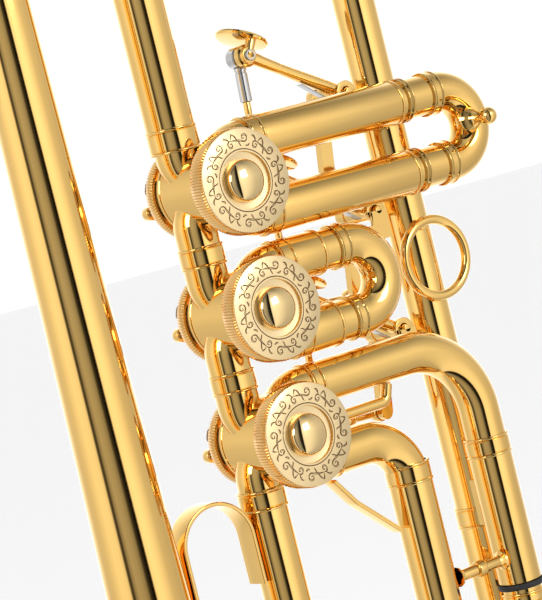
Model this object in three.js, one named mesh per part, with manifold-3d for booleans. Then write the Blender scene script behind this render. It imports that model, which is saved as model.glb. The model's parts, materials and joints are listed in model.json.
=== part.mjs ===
// A three-valve rotary trumpet, standing on its bell with the mouthpiece up.
// Millimetres. +Z runs up the instrument towards the player, +X from the bell towards the
// leadpipe, and -Y is the side that the valve caps face. Z = 0 is the bell's rim.
import * as THREE from 'three';
import { mergeVertices } from 'three/addons/utils/BufferGeometryUtils.js';
import Module from 'manifold-3d';

const wasm = await Module();
wasm.setup();

// ---------- driving dimensions ----------
const RIM_RADIUS = 65; // bell
const BELL_LENGTH = 473;
const BELL_THROAT_RADIUS = 10.55;
const BELL_THROAT_AT = 270;
const BELL_LAW = 0.5625;
const BELL_WALL = 0.6;
const BELL_BEAD = 1.4;

const VALVE_PITCH = 36.4; // the row of valves
const MIDDLE_VALVE_Z = 308;
const BELL_X = -51.5;
const ROW_TUBE_X = -7.2; // tubes that run along the row
const LEADPIPE_X = 77.7;
const LEADPIPE_Y = 14.6;

const TUBE_RADIUS = 6.2; // plain tubing
const TUBE_BORE = TUBE_RADIUS - 0.6;
const SLEEVE_RADIUS = TUBE_RADIUS + 0.4; // outer slide tubing
const SLEEVE_BORE = SLEEVE_RADIUS - 0.25;
const SLIDE_RADIUS = SLEEVE_BORE - 0.35; // inner slide tubing
const BELL_TUBE_RADIUS = 7.05;
const BOW_RADIUS = 7.6; // tubing of the bell bow
const FERRULE_STEP = 0.6; // how far a ferrule stands out
const KNUCKLE_BEND = 9;
const BELL_JOINT_RISE = 14; // soldered joints, measured from the nearest valve's axis
const INLET_JOINT_DROP = 16;
const SIDES = 10; // facets round a tube
const VALVE_SIDES = 16;
const SMALL_SIDES = 6;
const CAP_SIDES = 20;

const CASING_RADIUS = 12.3; // one valve, along its own Y axis
const CASING_BORE = 10.1;
const CASING_FRONT = -16.6;
const CASING_BACK = 11.8;
const CASING_WALL = 3.8;
const REAR_RING_RADIUS = 13.5;
const ROTOR_CLEARANCE = 0.3;
const ROTOR_LENGTH = 15.2;
const PASSAGE_RADIUS = 3.6;
const SPINDLE_RADIUS = 2;
const PLATE_THICKNESS = 3;
const CAP_RADIUS = 15;
const CAP_FACE = -19.9;
const CAP_SKIRT = 6.4;
const CAP_BUTTON_RADIUS = 6;
const CAP_BUTTON_RISE = 2.5;
const CAP_DISH_RADIUS = 8;
const CAP_DISH_DEPTH = 2.6;
const GAP = 0.3; // between separate pieces

const LEG_OFFSET = 10.6; // valve slides, measured from their valve's axis
const SLIDE_1_SLEEVE_END = 71.3;
const SLIDE_1_BEND_X = 87.8;
const SLIDE_2_SLEEVE_END = 31;
const SLIDE_2_BEND_X = 41.7;
const SLIDE_3_INNER_X = 44.7;
const SLIDE_3_OUTER_X = 76;
const SLIDE_3_OUTER_BEND = 22.5;
const SLIDE_3_INNER_BEND = 14;
const SLIDE_3_JOINT_DROP = 23;
const SLIDE_3_SLEEVE_DROP = 65;
const SLIDE_3_LEG_DROP = 71;
const SLIDE_ENGAGED = 40; // inner tube hidden inside its sleeve
const SLIDE_2_ENGAGED = 11;

const MAIN_SLEEVE_Z = 158; // main tuning slide
const MAIN_BEND_Z = 114.5;
const BELL_BOW_Z = BELL_LENGTH;
const LEADPIPE_JOINT = 227; // its outer slide tube meets the plain leadpipe here
const LEADPIPE_TAPER = 400; // and the taper to the mouthpiece starts here
const LEADPIPE_TOP = 498;
const LEADPIPE_TOP_RADIUS = 4.9;
const MOUTHPIECE_RIM_RADIUS = 13.6;
const MOUTHPIECE_OUT = 62;

const HINGE_X = 62.6; // lever work, measured from the valve's axis
const HINGE_Z = 17.1;
const TIP_X = 31.9;
const TIP_Z = 34.2;
const LEVER_TRAVEL = 16.5; // degrees
const CRANK_RADIUS = 5; // on the rotor's stop arm
const FOOT_X = 30.4;
const FOOT_Z = 9.4;
const TOUCH_RADIUS = 8;
const TOUCH_THICKNESS = 1.6;
const TOUCH_BACK = 4.2; // touch centre behind the lever's arm
const ARM_RADIUS = 2;
const PLUNGER_RADIUS = 1.95;
const BRACKET_THICKNESS = 1.3;
const EYE_Y = 15.4;
const LINK_Y = 26.6; // behind the touch discs, which swing past the next valve's link
const LINK_THICKNESS = 2.8;
const CRANK_THICKNESS = 2.8;
const LEVER_Y = EYE_Y - PLUNGER_RADIUS - ARM_RADIUS - GAP;
const BRACKET_BACK = SLEEVE_RADIUS + GAP + BRACKET_THICKNESS;
const CRANK_BACK = LINK_Y - LINK_THICKNESS / 2 - GAP; // the lever's crank arm, beside the link

const FINGER_RING_RADIUS = 11.6;
const FINGER_RING_WIRE = 1.5;

// ---------- materials ----------
function finish(color, roughness, metalness) {
  return new THREE.MeshStandardMaterial({ color, roughness, metalness });
}
const GOLD = finish(0xd9a441, 0.12, 1);
const CHAMPAGNE = finish(0xe8c88a, 0.25, 1);
const NICKEL = finish(0xb9b9bd, 0.15, 1);
const STEEL = finish(0x8f9296, 0.3, 1);
const RUBBER = finish(0x111111, 0.8, 0);
const CORK = finish(0x8a6238, 0.9, 0);

// ---------- solids ----------
function toSolid(geometry) {
  const bare = geometry.index ? geometry.toNonIndexed() : geometry.clone();
  bare.deleteAttribute('normal');
  bare.deleteAttribute('uv');
  const merged = mergeVertices(bare, 1e-4);
  const vertProperties = new Float32Array(merged.attributes.position.array);
  const triVerts = new Uint32Array(merged.index.array);
  return new wasm.Manifold(new wasm.Mesh({ numProp: 3, vertProperties, triVerts }));
}

function toGeometry(solid) {
  const { vertProperties, triVerts } = solid.getMesh();
  const geometry = new THREE.BufferGeometry();
  geometry.setAttribute('position', new THREE.BufferAttribute(vertProperties, 3));
  geometry.setIndex(new THREE.BufferAttribute(triVerts, 1));
  geometry.computeVertexNormals();
  return geometry;
}

const join = (...solids) => solids.reduce((whole, piece) => whole.add(piece));
const cut = (whole, ...tools) => tools.reduce((left, tool) => left.subtract(tool), whole);

// A direction's turn from +Z.
const turnTo = (direction) => new THREE.Quaternion().setFromUnitVectors(
  new THREE.Vector3(0, 0, 1), direction.clone().normalize());

// A profile of [radius, height] points turned about an axis through origin.
function turned(profile, origin, direction, sides = SIDES) {
  const points = profile.map(([radius, height]) => new THREE.Vector2(radius, height));
  const geometry = new THREE.LatheGeometry(points, sides);
  geometry.rotateX(Math.PI / 2);
  geometry.applyQuaternion(turnTo(direction));
  geometry.translate(origin.x, origin.y, origin.z);
  const solid = toSolid(geometry);
  if (solid.volume() > 0) return solid;
  const flipped = [...profile].reverse();
  return turned(flipped, origin, direction, sides);
}

const AXIS = {
  x: new THREE.Vector3(1, 0, 0),
  y: new THREE.Vector3(0, 1, 0),
  z: new THREE.Vector3(0, 0, 1),
};
const at = (x, y, z) => new THREE.Vector3(x, y, z);

// A solid round bar between two points.
function bar(from, to, radius, sides = SIDES) {
  const length = from.distanceTo(to);
  return turned([[0, 0], [radius, 0], [radius, length], [0, length]], from, to.clone().sub(from), sides);
}

// An open pipe between two points.
function pipe(from, to, outer, inner, sides = SIDES) {
  const length = from.distanceTo(to);
  const profile = [[inner, 0], [outer, 0], [outer, length], [inner, length], [inner, 0]];
  return turned(profile, from, to.clone().sub(from), sides);
}

// A raised band on a pipe, centred on a point.
function ferrule(centre, direction, inner, outer, width) {
  const half = direction.clone().normalize().multiplyScalar(width / 2);
  return pipe(centre.clone().sub(half), centre.clone().add(half), outer, inner);
}

const box = (from, to) => {
  const size = to.clone().sub(from);
  const geometry = new THREE.BoxGeometry(size.x, size.y, size.z);
  geometry.translate(from.x + size.x / 2, from.y + size.y / 2, from.z + size.z / 2);
  return toSolid(geometry);
};

// A path of straight runs with round corners: one step for a run, several for a corner.
class Route extends THREE.Curve {
  constructor(points, bend, cornerSteps = 3) {
    super();
    this.points = [points[0].clone()];
    this.tangents = [points[1].clone().sub(points[0]).normalize()];
    for (let i = 1; i < points.length - 1; i += 1) {
      const radius = Array.isArray(bend) ? bend[i - 1] : bend;
      this.addCorner(points[i - 1], points[i], points[i + 1], radius, cornerSteps);
    }
    this.points.push(points[points.length - 1].clone());
    this.tangents.push(this.tangents[this.tangents.length - 1].clone());
    this.steps = this.points.length - 1;
  }

  addCorner(before, corner, after, bend, cornerSteps) {
    const incoming = corner.clone().sub(before).normalize();
    const outgoing = after.clone().sub(corner).normalize();
    const turn = incoming.angleTo(outgoing);
    const start = corner.clone().addScaledVector(incoming, -bend * Math.tan(turn / 2));
    const inward = outgoing.clone().addScaledVector(incoming, -incoming.dot(outgoing)).normalize();
    const centre = start.clone().addScaledVector(inward, bend);
    const steps = Math.max(2, Math.round(cornerSteps * turn / (Math.PI / 2)));
    for (let k = 0; k <= steps; k += 1) {
      const angle = turn * k / steps;
      const point = centre.clone()
        .addScaledVector(inward, -bend * Math.cos(angle))
        .addScaledVector(incoming, bend * Math.sin(angle));
      const last = this.points[this.points.length - 1];
      if (k === 0 && last.distanceTo(point) < 1e-3) continue;
      this.points.push(point);
      this.tangents.push(incoming.clone().multiplyScalar(Math.cos(angle))
        .addScaledVector(inward, Math.sin(angle)));
    }
  }

  getPointAt(u) {
    return this.points[Math.round(u * this.steps)].clone();
  }

  getTangentAt(u) {
    return this.tangents[Math.round(u * this.steps)].clone();
  }
}

const circle = (radius, sides = SIDES) => new THREE.Shape(
  Array.from({ length: sides }, (_, i) => new THREE.Vector2(
    radius * Math.cos(2 * Math.PI * i / sides), radius * Math.sin(2 * Math.PI * i / sides))));

function sweep(shape, route) {
  const options = { extrudePath: route, steps: route.steps, curveSegments: 1, bevelEnabled: false };
  return toSolid(new THREE.ExtrudeGeometry(shape, options));
}

// A bent pipe along a route.
function bentPipe(route, outer, inner) {
  return cut(sweep(circle(outer), route), sweep(circle(inner), route));
}

// A flat outline in the XZ plane, given thickness along Y.
function plate(outline, yFrom, yTo) {
  const shape = new THREE.Shape(outline.map(([x, z]) => new THREE.Vector2(x, z)));
  const geometry = new THREE.ExtrudeGeometry(shape, { depth: yTo - yFrom, bevelEnabled: false });
  geometry.rotateX(Math.PI / 2);
  geometry.translate(0, yTo, 0);
  return toSolid(geometry);
}

// Two round ends and the straight bar between them, flat in Y.
function strapBetween(from, to, radius, yFrom, yTo) {
  const along = Math.atan2(to[1] - from[1], to[0] - from[0]);
  const steps = 4;
  const end = ([x, z], start) => Array.from({ length: steps + 1 }, (_, i) => {
    const angle = start + Math.PI * i / steps;
    return [x + radius * Math.cos(angle), z + radius * Math.sin(angle)];
  });
  return plate([...end(to, along - Math.PI / 2), ...end(from, along + Math.PI / 2)], yFrom, yTo);
}

// ---------- assembly ----------
const trumpet = new THREE.Group();

function addPiece(name, solid, material) {
  const mesh = new THREE.Mesh(toGeometry(solid), material.clone());
  mesh.name = name;
  trumpet.add(mesh);
}

const valveZ = (number) => MIDDLE_VALVE_Z + (2 - number) * VALVE_PITCH;
const VALVES = [1, 2, 3];

// The outer radius of the bell at a height above its rim.
const bellOffset = BELL_THROAT_AT / ((RIM_RADIUS / BELL_THROAT_RADIUS) ** (1 / BELL_LAW) - 1);
const bellRadius = (z) => RIM_RADIUS * (bellOffset / (z + bellOffset)) ** BELL_LAW;

function bell() {
  const rows = 12;
  const heights = Array.from({ length: rows + 1 }, (_, i) => BELL_LENGTH * (i / rows) ** 2.2);
  const outside = heights.map((z) => [bellRadius(z), z]);
  const inside = heights.map((z) => [bellRadius(z) - BELL_WALL, z]).reverse();
  inside[inside.length - 1] = [bellRadius(0) - BELL_BEAD * 2, 0];
  outside[0] = [RIM_RADIUS, 0];
  outside.splice(1, 0, [RIM_RADIUS, BELL_BEAD], [bellRadius(3) + 0.4, 3]);
  const lowRows = outside.filter(([, z], i) => i < 3 || z > 4);
  const highRows = inside.filter(([, z], i) => i === inside.length - 1 || z > 4);
  highRows.splice(highRows.length - 1, 0, [bellRadius(3) - BELL_WALL - 0.6, 3]);
  return turned([...lowRows, ...highRows, lowRows[0]], at(BELL_X, 0, 0), AXIS.z, 28);
}

const bellTop = bellRadius(BELL_LENGTH);

function bellBow() {
  const reach = (ROW_TUBE_X - BELL_X) / 2;
  const top = BELL_BOW_Z + GAP;
  const route = new Route([
    at(BELL_X, 0, top), at(BELL_X, 0, top + reach), at(ROW_TUBE_X, 0, top + reach), at(ROW_TUBE_X, 0, top),
  ], reach, 4);
  const bellSide = ferrule(at(BELL_X, 0, top - 3), AXIS.z, bellTop + 2 * GAP, bellTop + GAP + 1.2, 10);
  const rowSide = ferrule(at(ROW_TUBE_X, 0, top - 3), AXIS.z, BELL_TUBE_RADIUS + GAP, BOW_RADIUS + 1, 10);
  const collar = (x, inner) => ferrule(at(x, 0, top + 1), AXIS.z, TUBE_RADIUS, inner, 2);
  return join(bentPipe(route, BOW_RADIUS, TUBE_RADIUS + 0.4), bellSide, rowSide,
    collar(BELL_X, bellTop + GAP + 1), collar(ROW_TUBE_X, BOW_RADIUS + 1));
}

// The corner points of a row tube that leaves a valve's left port upwards or downwards.
function rowPort(z, side) {
  const inset = -ROW_TUBE_X - KNUCKLE_BEND * (1 - Math.SQRT1_2);
  const cornerReach = KNUCKLE_BEND * Math.tan(Math.PI / 8);
  const inner = at(-inset + 3, 0, z + side * (inset - 3));
  const corner = at(ROW_TUBE_X, 0, z + side * (inset + KNUCKLE_BEND * Math.SQRT1_2 - cornerReach));
  return [inner, corner];
}

function casingSpace(z) {
  return bar(at(0, CASING_FRONT - 5, z), at(0, CASING_BACK + 5, z), CASING_RADIUS + GAP, VALVE_SIDES);
}

function ringedFerrule(x, y, z, inner) {
  const outer = inner + FERRULE_STEP;
  return ferrule(at(x, y, z), AXIS.z, inner - 0.4, outer, 6);
}

function knuckle(upper, lower) {
  const start = rowPort(valveZ(upper), -1);
  const end = rowPort(valveZ(lower), 1);
  const route = new Route([start[0], start[1], end[1], end[0]], KNUCKLE_BEND);
  const middle = (valveZ(upper) + valveZ(lower)) / 2;
  const ring = ringedFerrule(ROW_TUBE_X, 0, middle, TUBE_RADIUS);
  const whole = join(bentPipe(route, TUBE_RADIUS, TUBE_BORE), ring);
  return cut(whole, casingSpace(valveZ(upper)), casingSpace(valveZ(lower)));
}

function valveToBellTube() {
  const z = valveZ(1);
  const [inner, corner] = rowPort(z, 1);
  const joint = z + BELL_JOINT_RISE;
  const elbow = bentPipe(new Route([inner, corner, at(ROW_TUBE_X, 0, joint)], KNUCKLE_BEND),
    TUBE_RADIUS, TUBE_BORE);
  const straight = pipe(at(ROW_TUBE_X, 0, joint - 1), at(ROW_TUBE_X, 0, BELL_BOW_Z - GAP),
    BELL_TUBE_RADIUS, TUBE_RADIUS - 0.2);
  const band = ferrule(at(ROW_TUBE_X, 0, joint), AXIS.z, TUBE_RADIUS - 0.2, BELL_TUBE_RADIUS + 0.4, 6);
  return cut(join(elbow, straight, band), casingSpace(z));
}

function inletTube() {
  const z = valveZ(3);
  const [inner, corner] = rowPort(z, -1);
  const joint = z - INLET_JOINT_DROP;
  const elbow = bentPipe(new Route([inner, corner, at(ROW_TUBE_X, 0, joint)], KNUCKLE_BEND),
    TUBE_RADIUS, TUBE_BORE);
  const sleeveEnds = [at(ROW_TUBE_X, 0, MAIN_SLEEVE_Z), at(ROW_TUBE_X, 0, joint + 1)];
  const sleeve = pipe(...sleeveEnds, SLEEVE_RADIUS, SLEEVE_BORE);
  const band = ferrule(at(ROW_TUBE_X, 0, joint), AXIS.z, TUBE_BORE + 0.2, SLEEVE_RADIUS + 0.5, 6);
  return cut(join(elbow, sleeve, band), casingSpace(z));
}

function casing(z) {
  const back = CASING_BACK - CASING_WALL;
  const profile = [
    [SPINDLE_RADIUS + GAP, back], [CASING_BORE, back],
    [CASING_BORE, CASING_FRONT], [CASING_RADIUS, CASING_FRONT],
    [CASING_RADIUS, back + 0.5], [REAR_RING_RADIUS, back + 0.5], [REAR_RING_RADIUS, CASING_BACK],
    [SPINDLE_RADIUS + GAP, CASING_BACK], [SPINDLE_RADIUS + GAP, back],
  ];
  const shell = turned(profile, at(0, 0, z), AXIS.y, VALVE_SIDES);
  const ports = [-1, 1].flatMap((sx) => [-1, 1].map((sz) => bar(
    at(sx * 4, 0, z + sz * 4), at(sx * 12, 0, z + sz * 12), TUBE_BORE - 0.6)));
  return cut(shell, ...ports);
}

const rotorRadius = CASING_BORE - ROTOR_CLEARANCE;
const rotorBack = CASING_BACK - CASING_WALL - GAP;
const rotorFront = rotorBack - ROTOR_LENGTH;

function rotor(z) {
  const profile = [
    [0, rotorFront - PLATE_THICKNESS], [3, rotorFront - PLATE_THICKNESS], [3, rotorFront],
    [rotorRadius, rotorFront], [rotorRadius, rotorBack], [SPINDLE_RADIUS, rotorBack],
    [SPINDLE_RADIUS, EYE_Y + 1], [0, EYE_Y + 1],
  ];
  const body = turned(profile, at(0, 0, z), AXIS.y, VALVE_SIDES);
  const passage = (side) => {
    const reach = rotorRadius * Math.SQRT1_2 + 3;
    const route = new Route([at(side * reach, 0, z + reach), at(0, 0, z), at(side * reach, 0, z - reach)],
      rotorRadius, 5);
    return sweep(circle(PASSAGE_RADIUS, 8), route);
  };
  return cut(body, passage(-1), passage(1));
}

function bearingPlate(z) {
  const front = rotorFront - GAP - PLATE_THICKNESS;
  const profile = [[3 + GAP, 0], [CASING_BORE - GAP, 0], [CASING_BORE - GAP, PLATE_THICKNESS],
    [3 + GAP, PLATE_THICKNESS], [3 + GAP, 0]];
  return turned(profile, at(0, front, z), AXIS.y, VALVE_SIDES);
}

function valveCap(z) {
  const skirtEnd = CAP_FACE + CAP_SKIRT;
  const button = CAP_FACE - CAP_BUTTON_RISE;
  const profile = [
    [0, button], [CAP_BUTTON_RADIUS - 0.8, button], [CAP_BUTTON_RADIUS, button + 0.8],
    [CAP_BUTTON_RADIUS, CAP_FACE + CAP_DISH_DEPTH], [CAP_DISH_RADIUS, CAP_FACE], [CAP_RADIUS - 0.5, CAP_FACE],
    [CAP_RADIUS, CAP_FACE + 0.5], [CAP_RADIUS, skirtEnd], [CASING_RADIUS + GAP, skirtEnd],
    [CASING_RADIUS + GAP, CASING_FRONT - GAP], [8, CASING_FRONT - GAP], [8, CASING_FRONT + 0.8],
    [0, CASING_FRONT + 0.8],
  ];
  return turned(profile, at(0, 0, z), AXIS.y, CAP_SIDES);
}

// Both limits of the stop arm's tab meet a lug of this crescent.
const TAB_REACH = 9;
const TAB_HALF = 1.6;
const LUG_ANGLE = Math.asin((2 * TAB_HALF + GAP) / TAB_REACH);

const sector = (inner, outer, from, to, z, steps = 8) => {
  const arc = (radius, a, b) => Array.from({ length: steps + 1 }, (_, i) => {
    const angle = a + (b - a) * i / steps;
    return [radius * Math.cos(angle), z + radius * Math.sin(angle)];
  });
  return [...arc(outer, from, to), ...arc(inner, to, from)];
};

function bumper(z) {
  const low = Math.PI / 4 - LUG_ANGLE;
  const high = 3 * Math.PI / 4 + LUG_ANGLE;
  const half = 0.17;
  const base = CASING_BACK + GAP;
  return join(
    plate(sector(7, 11.5, low - half, high + half, z), base, base + 1),
    plate(sector(7, 11, low - half, low + half, z, 2), base + 0.5, base + 3.6),
    plate(sector(7, 11, high - half, high + half, z, 2), base + 0.5, base + 3.6));
}

const crankPin = CRANK_RADIUS * Math.SQRT1_2;

function stopArm(z) {
  const from = CASING_BACK + GAP + 1.3;
  const to = EYE_Y + 1;
  const hub = bar(at(0, from, z), at(0, to + 0.8, z), 4.3);
  const tabOut = (TAB_REACH - TAB_HALF) * Math.SQRT1_2;
  const tab = strapBetween([0, z], [tabOut, z + tabOut],
    TAB_HALF, from, to - 0.4);
  const crank = strapBetween([0, z], [-crankPin, z - crankPin], 2.2, from, to - 0.2);
  const spindleEnd = EYE_Y + 1 + GAP;
  const socket = bar(at(0, from - 1, z), at(0, spindleEnd, z), SPINDLE_RADIUS + GAP);
  const studEnd = LINK_Y - LINK_THICKNESS / 2 - GAP;
  const stud = bar(at(-crankPin, from, z - crankPin), at(-crankPin, studEnd, z - crankPin), 1.4, SMALL_SIDES);
  const screw = turned([[0, 0], [1.2, 0], [1.2, 4.6], [4, 4.6], [3.7, 6], [2.6, 7.4], [1, 8.1], [0, 8.2]],
    at(0, spindleEnd, z), AXIS.y);
  return join(cut(join(hub, tab, crank, stud), socket), screw);
}

// The corner points of a slide tube that leaves a valve's right port.
function slidePort(z, side) {
  const inset = LEG_OFFSET - KNUCKLE_BEND * (1 - Math.SQRT1_2);
  const cornerReach = KNUCKLE_BEND * Math.tan(Math.PI / 8);
  const inner = at(inset - 4, 0, z + side * (inset - 4));
  const corner = at(inset + KNUCKLE_BEND * Math.SQRT1_2 - cornerReach, 0, z + side * LEG_OFFSET);
  return [inner, corner];
}

const SLEEVE_START = 17; // where the sleeve takes over from the elbow

function slideSleeve(z, side, end) {
  const [inner, corner] = slidePort(z, side);
  const legZ = z + side * LEG_OFFSET;
  const elbow = bentPipe(new Route([inner, corner, at(SLEEVE_START, 0, legZ)], KNUCKLE_BEND),
    TUBE_RADIUS, TUBE_BORE);
  const sleeve = pipe(at(SLEEVE_START - 1, 0, legZ), at(end, 0, legZ), SLEEVE_RADIUS, SLEEVE_BORE);
  const collar = ferrule(at(SLEEVE_START, 0, legZ), AXIS.x, TUBE_BORE + 0.2, SLEEVE_RADIUS, 2.6);
  return cut(join(elbow, sleeve, collar), casingSpace(z));
}

function slideThreeSleeve(side) {
  const z = valveZ(3);
  const [inner, corner] = slidePort(z, side);
  const outerX = side > 0 ? SLIDE_3_OUTER_X : SLIDE_3_INNER_X;
  const bend = side > 0 ? SLIDE_3_OUTER_BEND : SLIDE_3_INNER_BEND;
  const legZ = z + side * LEG_OFFSET;
  const joint = z - SLIDE_3_JOINT_DROP;
  const corners = [inner, corner, at(outerX, 0, legZ), at(outerX, 0, joint)];
  const route = new Route(corners, [KNUCKLE_BEND, bend], 4);
  const bent = bentPipe(route, TUBE_RADIUS, TUBE_BORE);
  const sleeveEnds = [at(outerX, 0, z - SLIDE_3_SLEEVE_DROP), at(outerX, 0, joint + 1)];
  const sleeve = pipe(...sleeveEnds, SLEEVE_RADIUS, SLEEVE_BORE);
  const band = ferrule(at(outerX, 0, joint), AXIS.z, TUBE_BORE + 0.2, SLEEVE_RADIUS + 0.4, 5);
  return cut(join(bent, sleeve, band), casingSpace(z));
}

// A U-shaped slide: two inner legs, their ferrules and the bow that joins them.
function slideBow(from, bendAt, spread, direction, legLength, ferruleAt) {
  const half = spread.clone().multiplyScalar(0.5);
  const width = half.length();
  const apex = bendAt.clone().addScaledVector(direction, width);
  const ends = [1, -1].map((side) => from.clone().addScaledVector(half, side));
  const corners = [1, -1].map((side) => apex.clone().addScaledVector(half, side));
  const route = new Route([ends[0], corners[0], corners[1], ends[1]], width, 4);
  const bands = [1, -1].map((side) => ferrule(
    from.clone().addScaledVector(half, side).addScaledVector(direction, ferruleAt),
    direction, TUBE_BORE + 0.2, SLIDE_RADIUS + 0.75, legLength));
  return join(bentPipe(route, SLIDE_RADIUS, TUBE_BORE), ...bands);
}

function pullKnob(base, direction) {
  return turned([[0, 0], [4.2, 0], [3.4, 1.6], [2.1, 3.4], [1.5, 5.6], [1.9, 6.4],
    [2.6, 7.6], [2.6, 8.8], [1.8, 10.2],
    [0, 10.7]], base, direction);
}

function slideOne() {
  const z = valveZ(1);
  const start = SLIDE_1_SLEEVE_END - SLIDE_ENGAGED;
  const bow = slideBow(at(start, 0, z), at(SLIDE_1_BEND_X, 0, z), at(0, 0, 2 * LEG_OFFSET), AXIS.x, 4.5,
    SLIDE_1_BEND_X - 2 - start);
  const knob = pullKnob(at(SLIDE_1_BEND_X + 7.2, -4.4, z), at(0.12, -1, 0));
  const bore = bar(at(SLIDE_1_BEND_X + 7, 0, z - 4), at(SLIDE_1_BEND_X + LEG_OFFSET, 0, z + 1), 1);
  return join(bow, cut(knob, bore));
}

function slideTwo() {
  const z = valveZ(2);
  const start = SLIDE_2_SLEEVE_END - SLIDE_2_ENGAGED;
  return slideBow(at(start, 0, z), at(SLIDE_2_BEND_X, 0, z), at(0, 0, 2 * LEG_OFFSET), AXIS.x, 5,
    SLIDE_2_BEND_X - 3.2 - start);
}

function slideThree() {
  const z = valveZ(3);
  const middle = (SLIDE_3_INNER_X + SLIDE_3_OUTER_X) / 2;
  const spread = at(SLIDE_3_OUTER_X - SLIDE_3_INNER_X, 0, 0);
  const top = z - SLIDE_3_SLEEVE_DROP + 34;
  const bendZ = z - SLIDE_3_LEG_DROP;
  return slideBow(at(middle, 0, top), at(middle, 0, bendZ), spread, at(0, 0, -1), 4, top - bendZ - 1.4);
}

const mainTilt = LEADPIPE_Y;

function mainSlide() {
  const top = MAIN_SLEEVE_Z + SLIDE_ENGAGED;
  const middle = at((ROW_TUBE_X + LEADPIPE_X) / 2, mainTilt / 2, top);
  const spread = at(LEADPIPE_X - ROW_TUBE_X, mainTilt, 0);
  const bend = middle.clone().setZ(MAIN_BEND_Z);
  const bow = slideBow(middle, bend, spread, at(0, 0, -1), 6, top - MAIN_BEND_Z - 3);
  const across = spread.clone().normalize();
  const legInside = spread.length() / 2 - SLIDE_RADIUS + GAP;
  const left = bend.clone().addScaledVector(across, -legInside).setZ(MAIN_BEND_Z + 14);
  const right = bend.clone().addScaledVector(across, legInside).setZ(MAIN_BEND_Z + 14);
  const brace = bar(left, right, 1.9);
  const centre = left.clone().add(right).multiplyScalar(0.5);
  const bead = (offset) => ferrule(centre.clone().addScaledVector(across, offset), across, 1, 3, 2.4);
  const nozzleEnd = waterHole.clone().add(at(0, 0, -SLIDE_RADIUS - 2.2));
  const nozzle = pipe(waterHole.clone().add(at(0, 0, 2)), nozzleEnd, 2.6, 1.4);
  const hingePost = join(...[-1, 1].map((side) => plateAlong(waterHinge, side)));
  return join(bow, brace, bead(-9), bead(9), nozzle, hingePost);
}

// The water key sits at the lowest point of the main bow.
const mainReach = Math.hypot(LEADPIPE_X - ROW_TUBE_X, LEADPIPE_Y) / 2;
const waterHole = at((ROW_TUBE_X + LEADPIPE_X) / 2, mainTilt / 2, MAIN_BEND_Z - mainReach);
const acrossMain = at(LEADPIPE_X - ROW_TUBE_X, LEADPIPE_Y, 0).normalize();
const sideMain = at(-acrossMain.y, acrossMain.x, 0);
const waterHinge = waterHole.clone().addScaledVector(acrossMain, 11).add(at(0, 0, -6.4));
const KEY_HALF = 1.6;

function plateAlong(hinge, side) {
  const low = hinge.clone().addScaledVector(sideMain, side * (KEY_HALF + GAP + 0.7));
  const high = low.clone().setZ(hinge.z + 4.2).addScaledVector(sideMain, side * 0.2);
  return bar(low.clone().add(at(0, 0, -1.6)), high, 0.9, 8);
}

function waterKey() {
  const seat = waterHole.clone().add(at(0, 0, -SLIDE_RADIUS - 2.2 - GAP));
  const pad = bar(seat, seat.clone().add(at(0, 0, -2.2)), 3.1);
  const armStart = seat.clone().add(at(0, 0, -2.6));
  const touch = waterHinge.clone().addScaledVector(acrossMain, 15).add(at(0, 0, -2));
  const arm = join(bar(armStart, waterHinge, 1.3, 8), bar(waterHinge, touch, 1.3, 8));
  const barrel = bar(waterHinge.clone().addScaledVector(sideMain, -KEY_HALF),
    waterHinge.clone().addScaledVector(sideMain, KEY_HALF), 1.8);
  const finger = bar(touch.clone().add(at(0, 0, -0.6)), touch.clone().add(at(0, 0, 0.8)), 4);
  return join(pad, arm, barrel, finger);
}

function leadpipe() {
  const bottom = MAIN_SLEEVE_Z;
  const joint = LEADPIPE_JOINT;
  const profile = [
    [SLEEVE_BORE, bottom], [SLEEVE_RADIUS, bottom],
    [SLEEVE_RADIUS, joint - 3], [SLEEVE_RADIUS + 0.5, joint - 3],
    [SLEEVE_RADIUS + 0.5, joint + 3], [TUBE_RADIUS + 0.2, joint + 3], [TUBE_RADIUS + 0.2, LEADPIPE_TAPER],
    [LEADPIPE_TOP_RADIUS, LEADPIPE_TOP - GAP], [LEADPIPE_TOP_RADIUS - 0.6, LEADPIPE_TOP - GAP],
    [TUBE_BORE, LEADPIPE_TAPER], [TUBE_BORE, joint], [SLEEVE_BORE, joint - 3], [SLEEVE_BORE, bottom],
  ];
  return turned(profile, at(LEADPIPE_X, LEADPIPE_Y, 0), AXIS.z, SIDES);
}

const RECEIVER_LENGTH = 34;
const SHANK_RADIUS = 4.9;

function receiver() {
  const from = LEADPIPE_TOP - 14;
  const top = LEADPIPE_TOP + RECEIVER_LENGTH - 14;
  const profile = [
    [5.9, from], [6.6, from], [7.2, from + 4], [7.0, top - 5], [8.2, top - 4], [8.2, top],
    [SHANK_RADIUS + GAP, top], [SHANK_RADIUS + GAP - 0.35, LEADPIPE_TOP + GAP], [5.9, LEADPIPE_TOP + GAP],
    [5.9, from],
  ];
  return turned(profile, at(LEADPIPE_X, LEADPIPE_Y, 0), AXIS.z);
}

const receiverTop = LEADPIPE_TOP + RECEIVER_LENGTH - 14;

function mouthpiece() {
  const tip = LEADPIPE_TOP + 2;
  const rim = receiverTop + MOUTHPIECE_OUT;
  const rimRadius = MOUTHPIECE_RIM_RADIUS;
  const profile = [
    [3.6, tip], [SHANK_RADIUS - 0.35, tip], [SHANK_RADIUS, receiverTop], [5.1, receiverTop + 18],
    [5.8, receiverTop + 26], [9, receiverTop + 34], [12.2, receiverTop + 42], [12.6, rim - 4],
    [rimRadius, rim - 3], [rimRadius, rim - 1], [rimRadius - 1.6, rim], [rimRadius - 4, rim - 0.2],
    [8.3, rim - 2], [7.6, rim - 8], [4.6, rim - 14], [1.9, rim - 17], [1.9, rim - 26], [3.6, tip],
  ];
  return turned(profile, at(LEADPIPE_X, LEADPIPE_Y, 0), AXIS.z, VALVE_SIDES);
}

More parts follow.
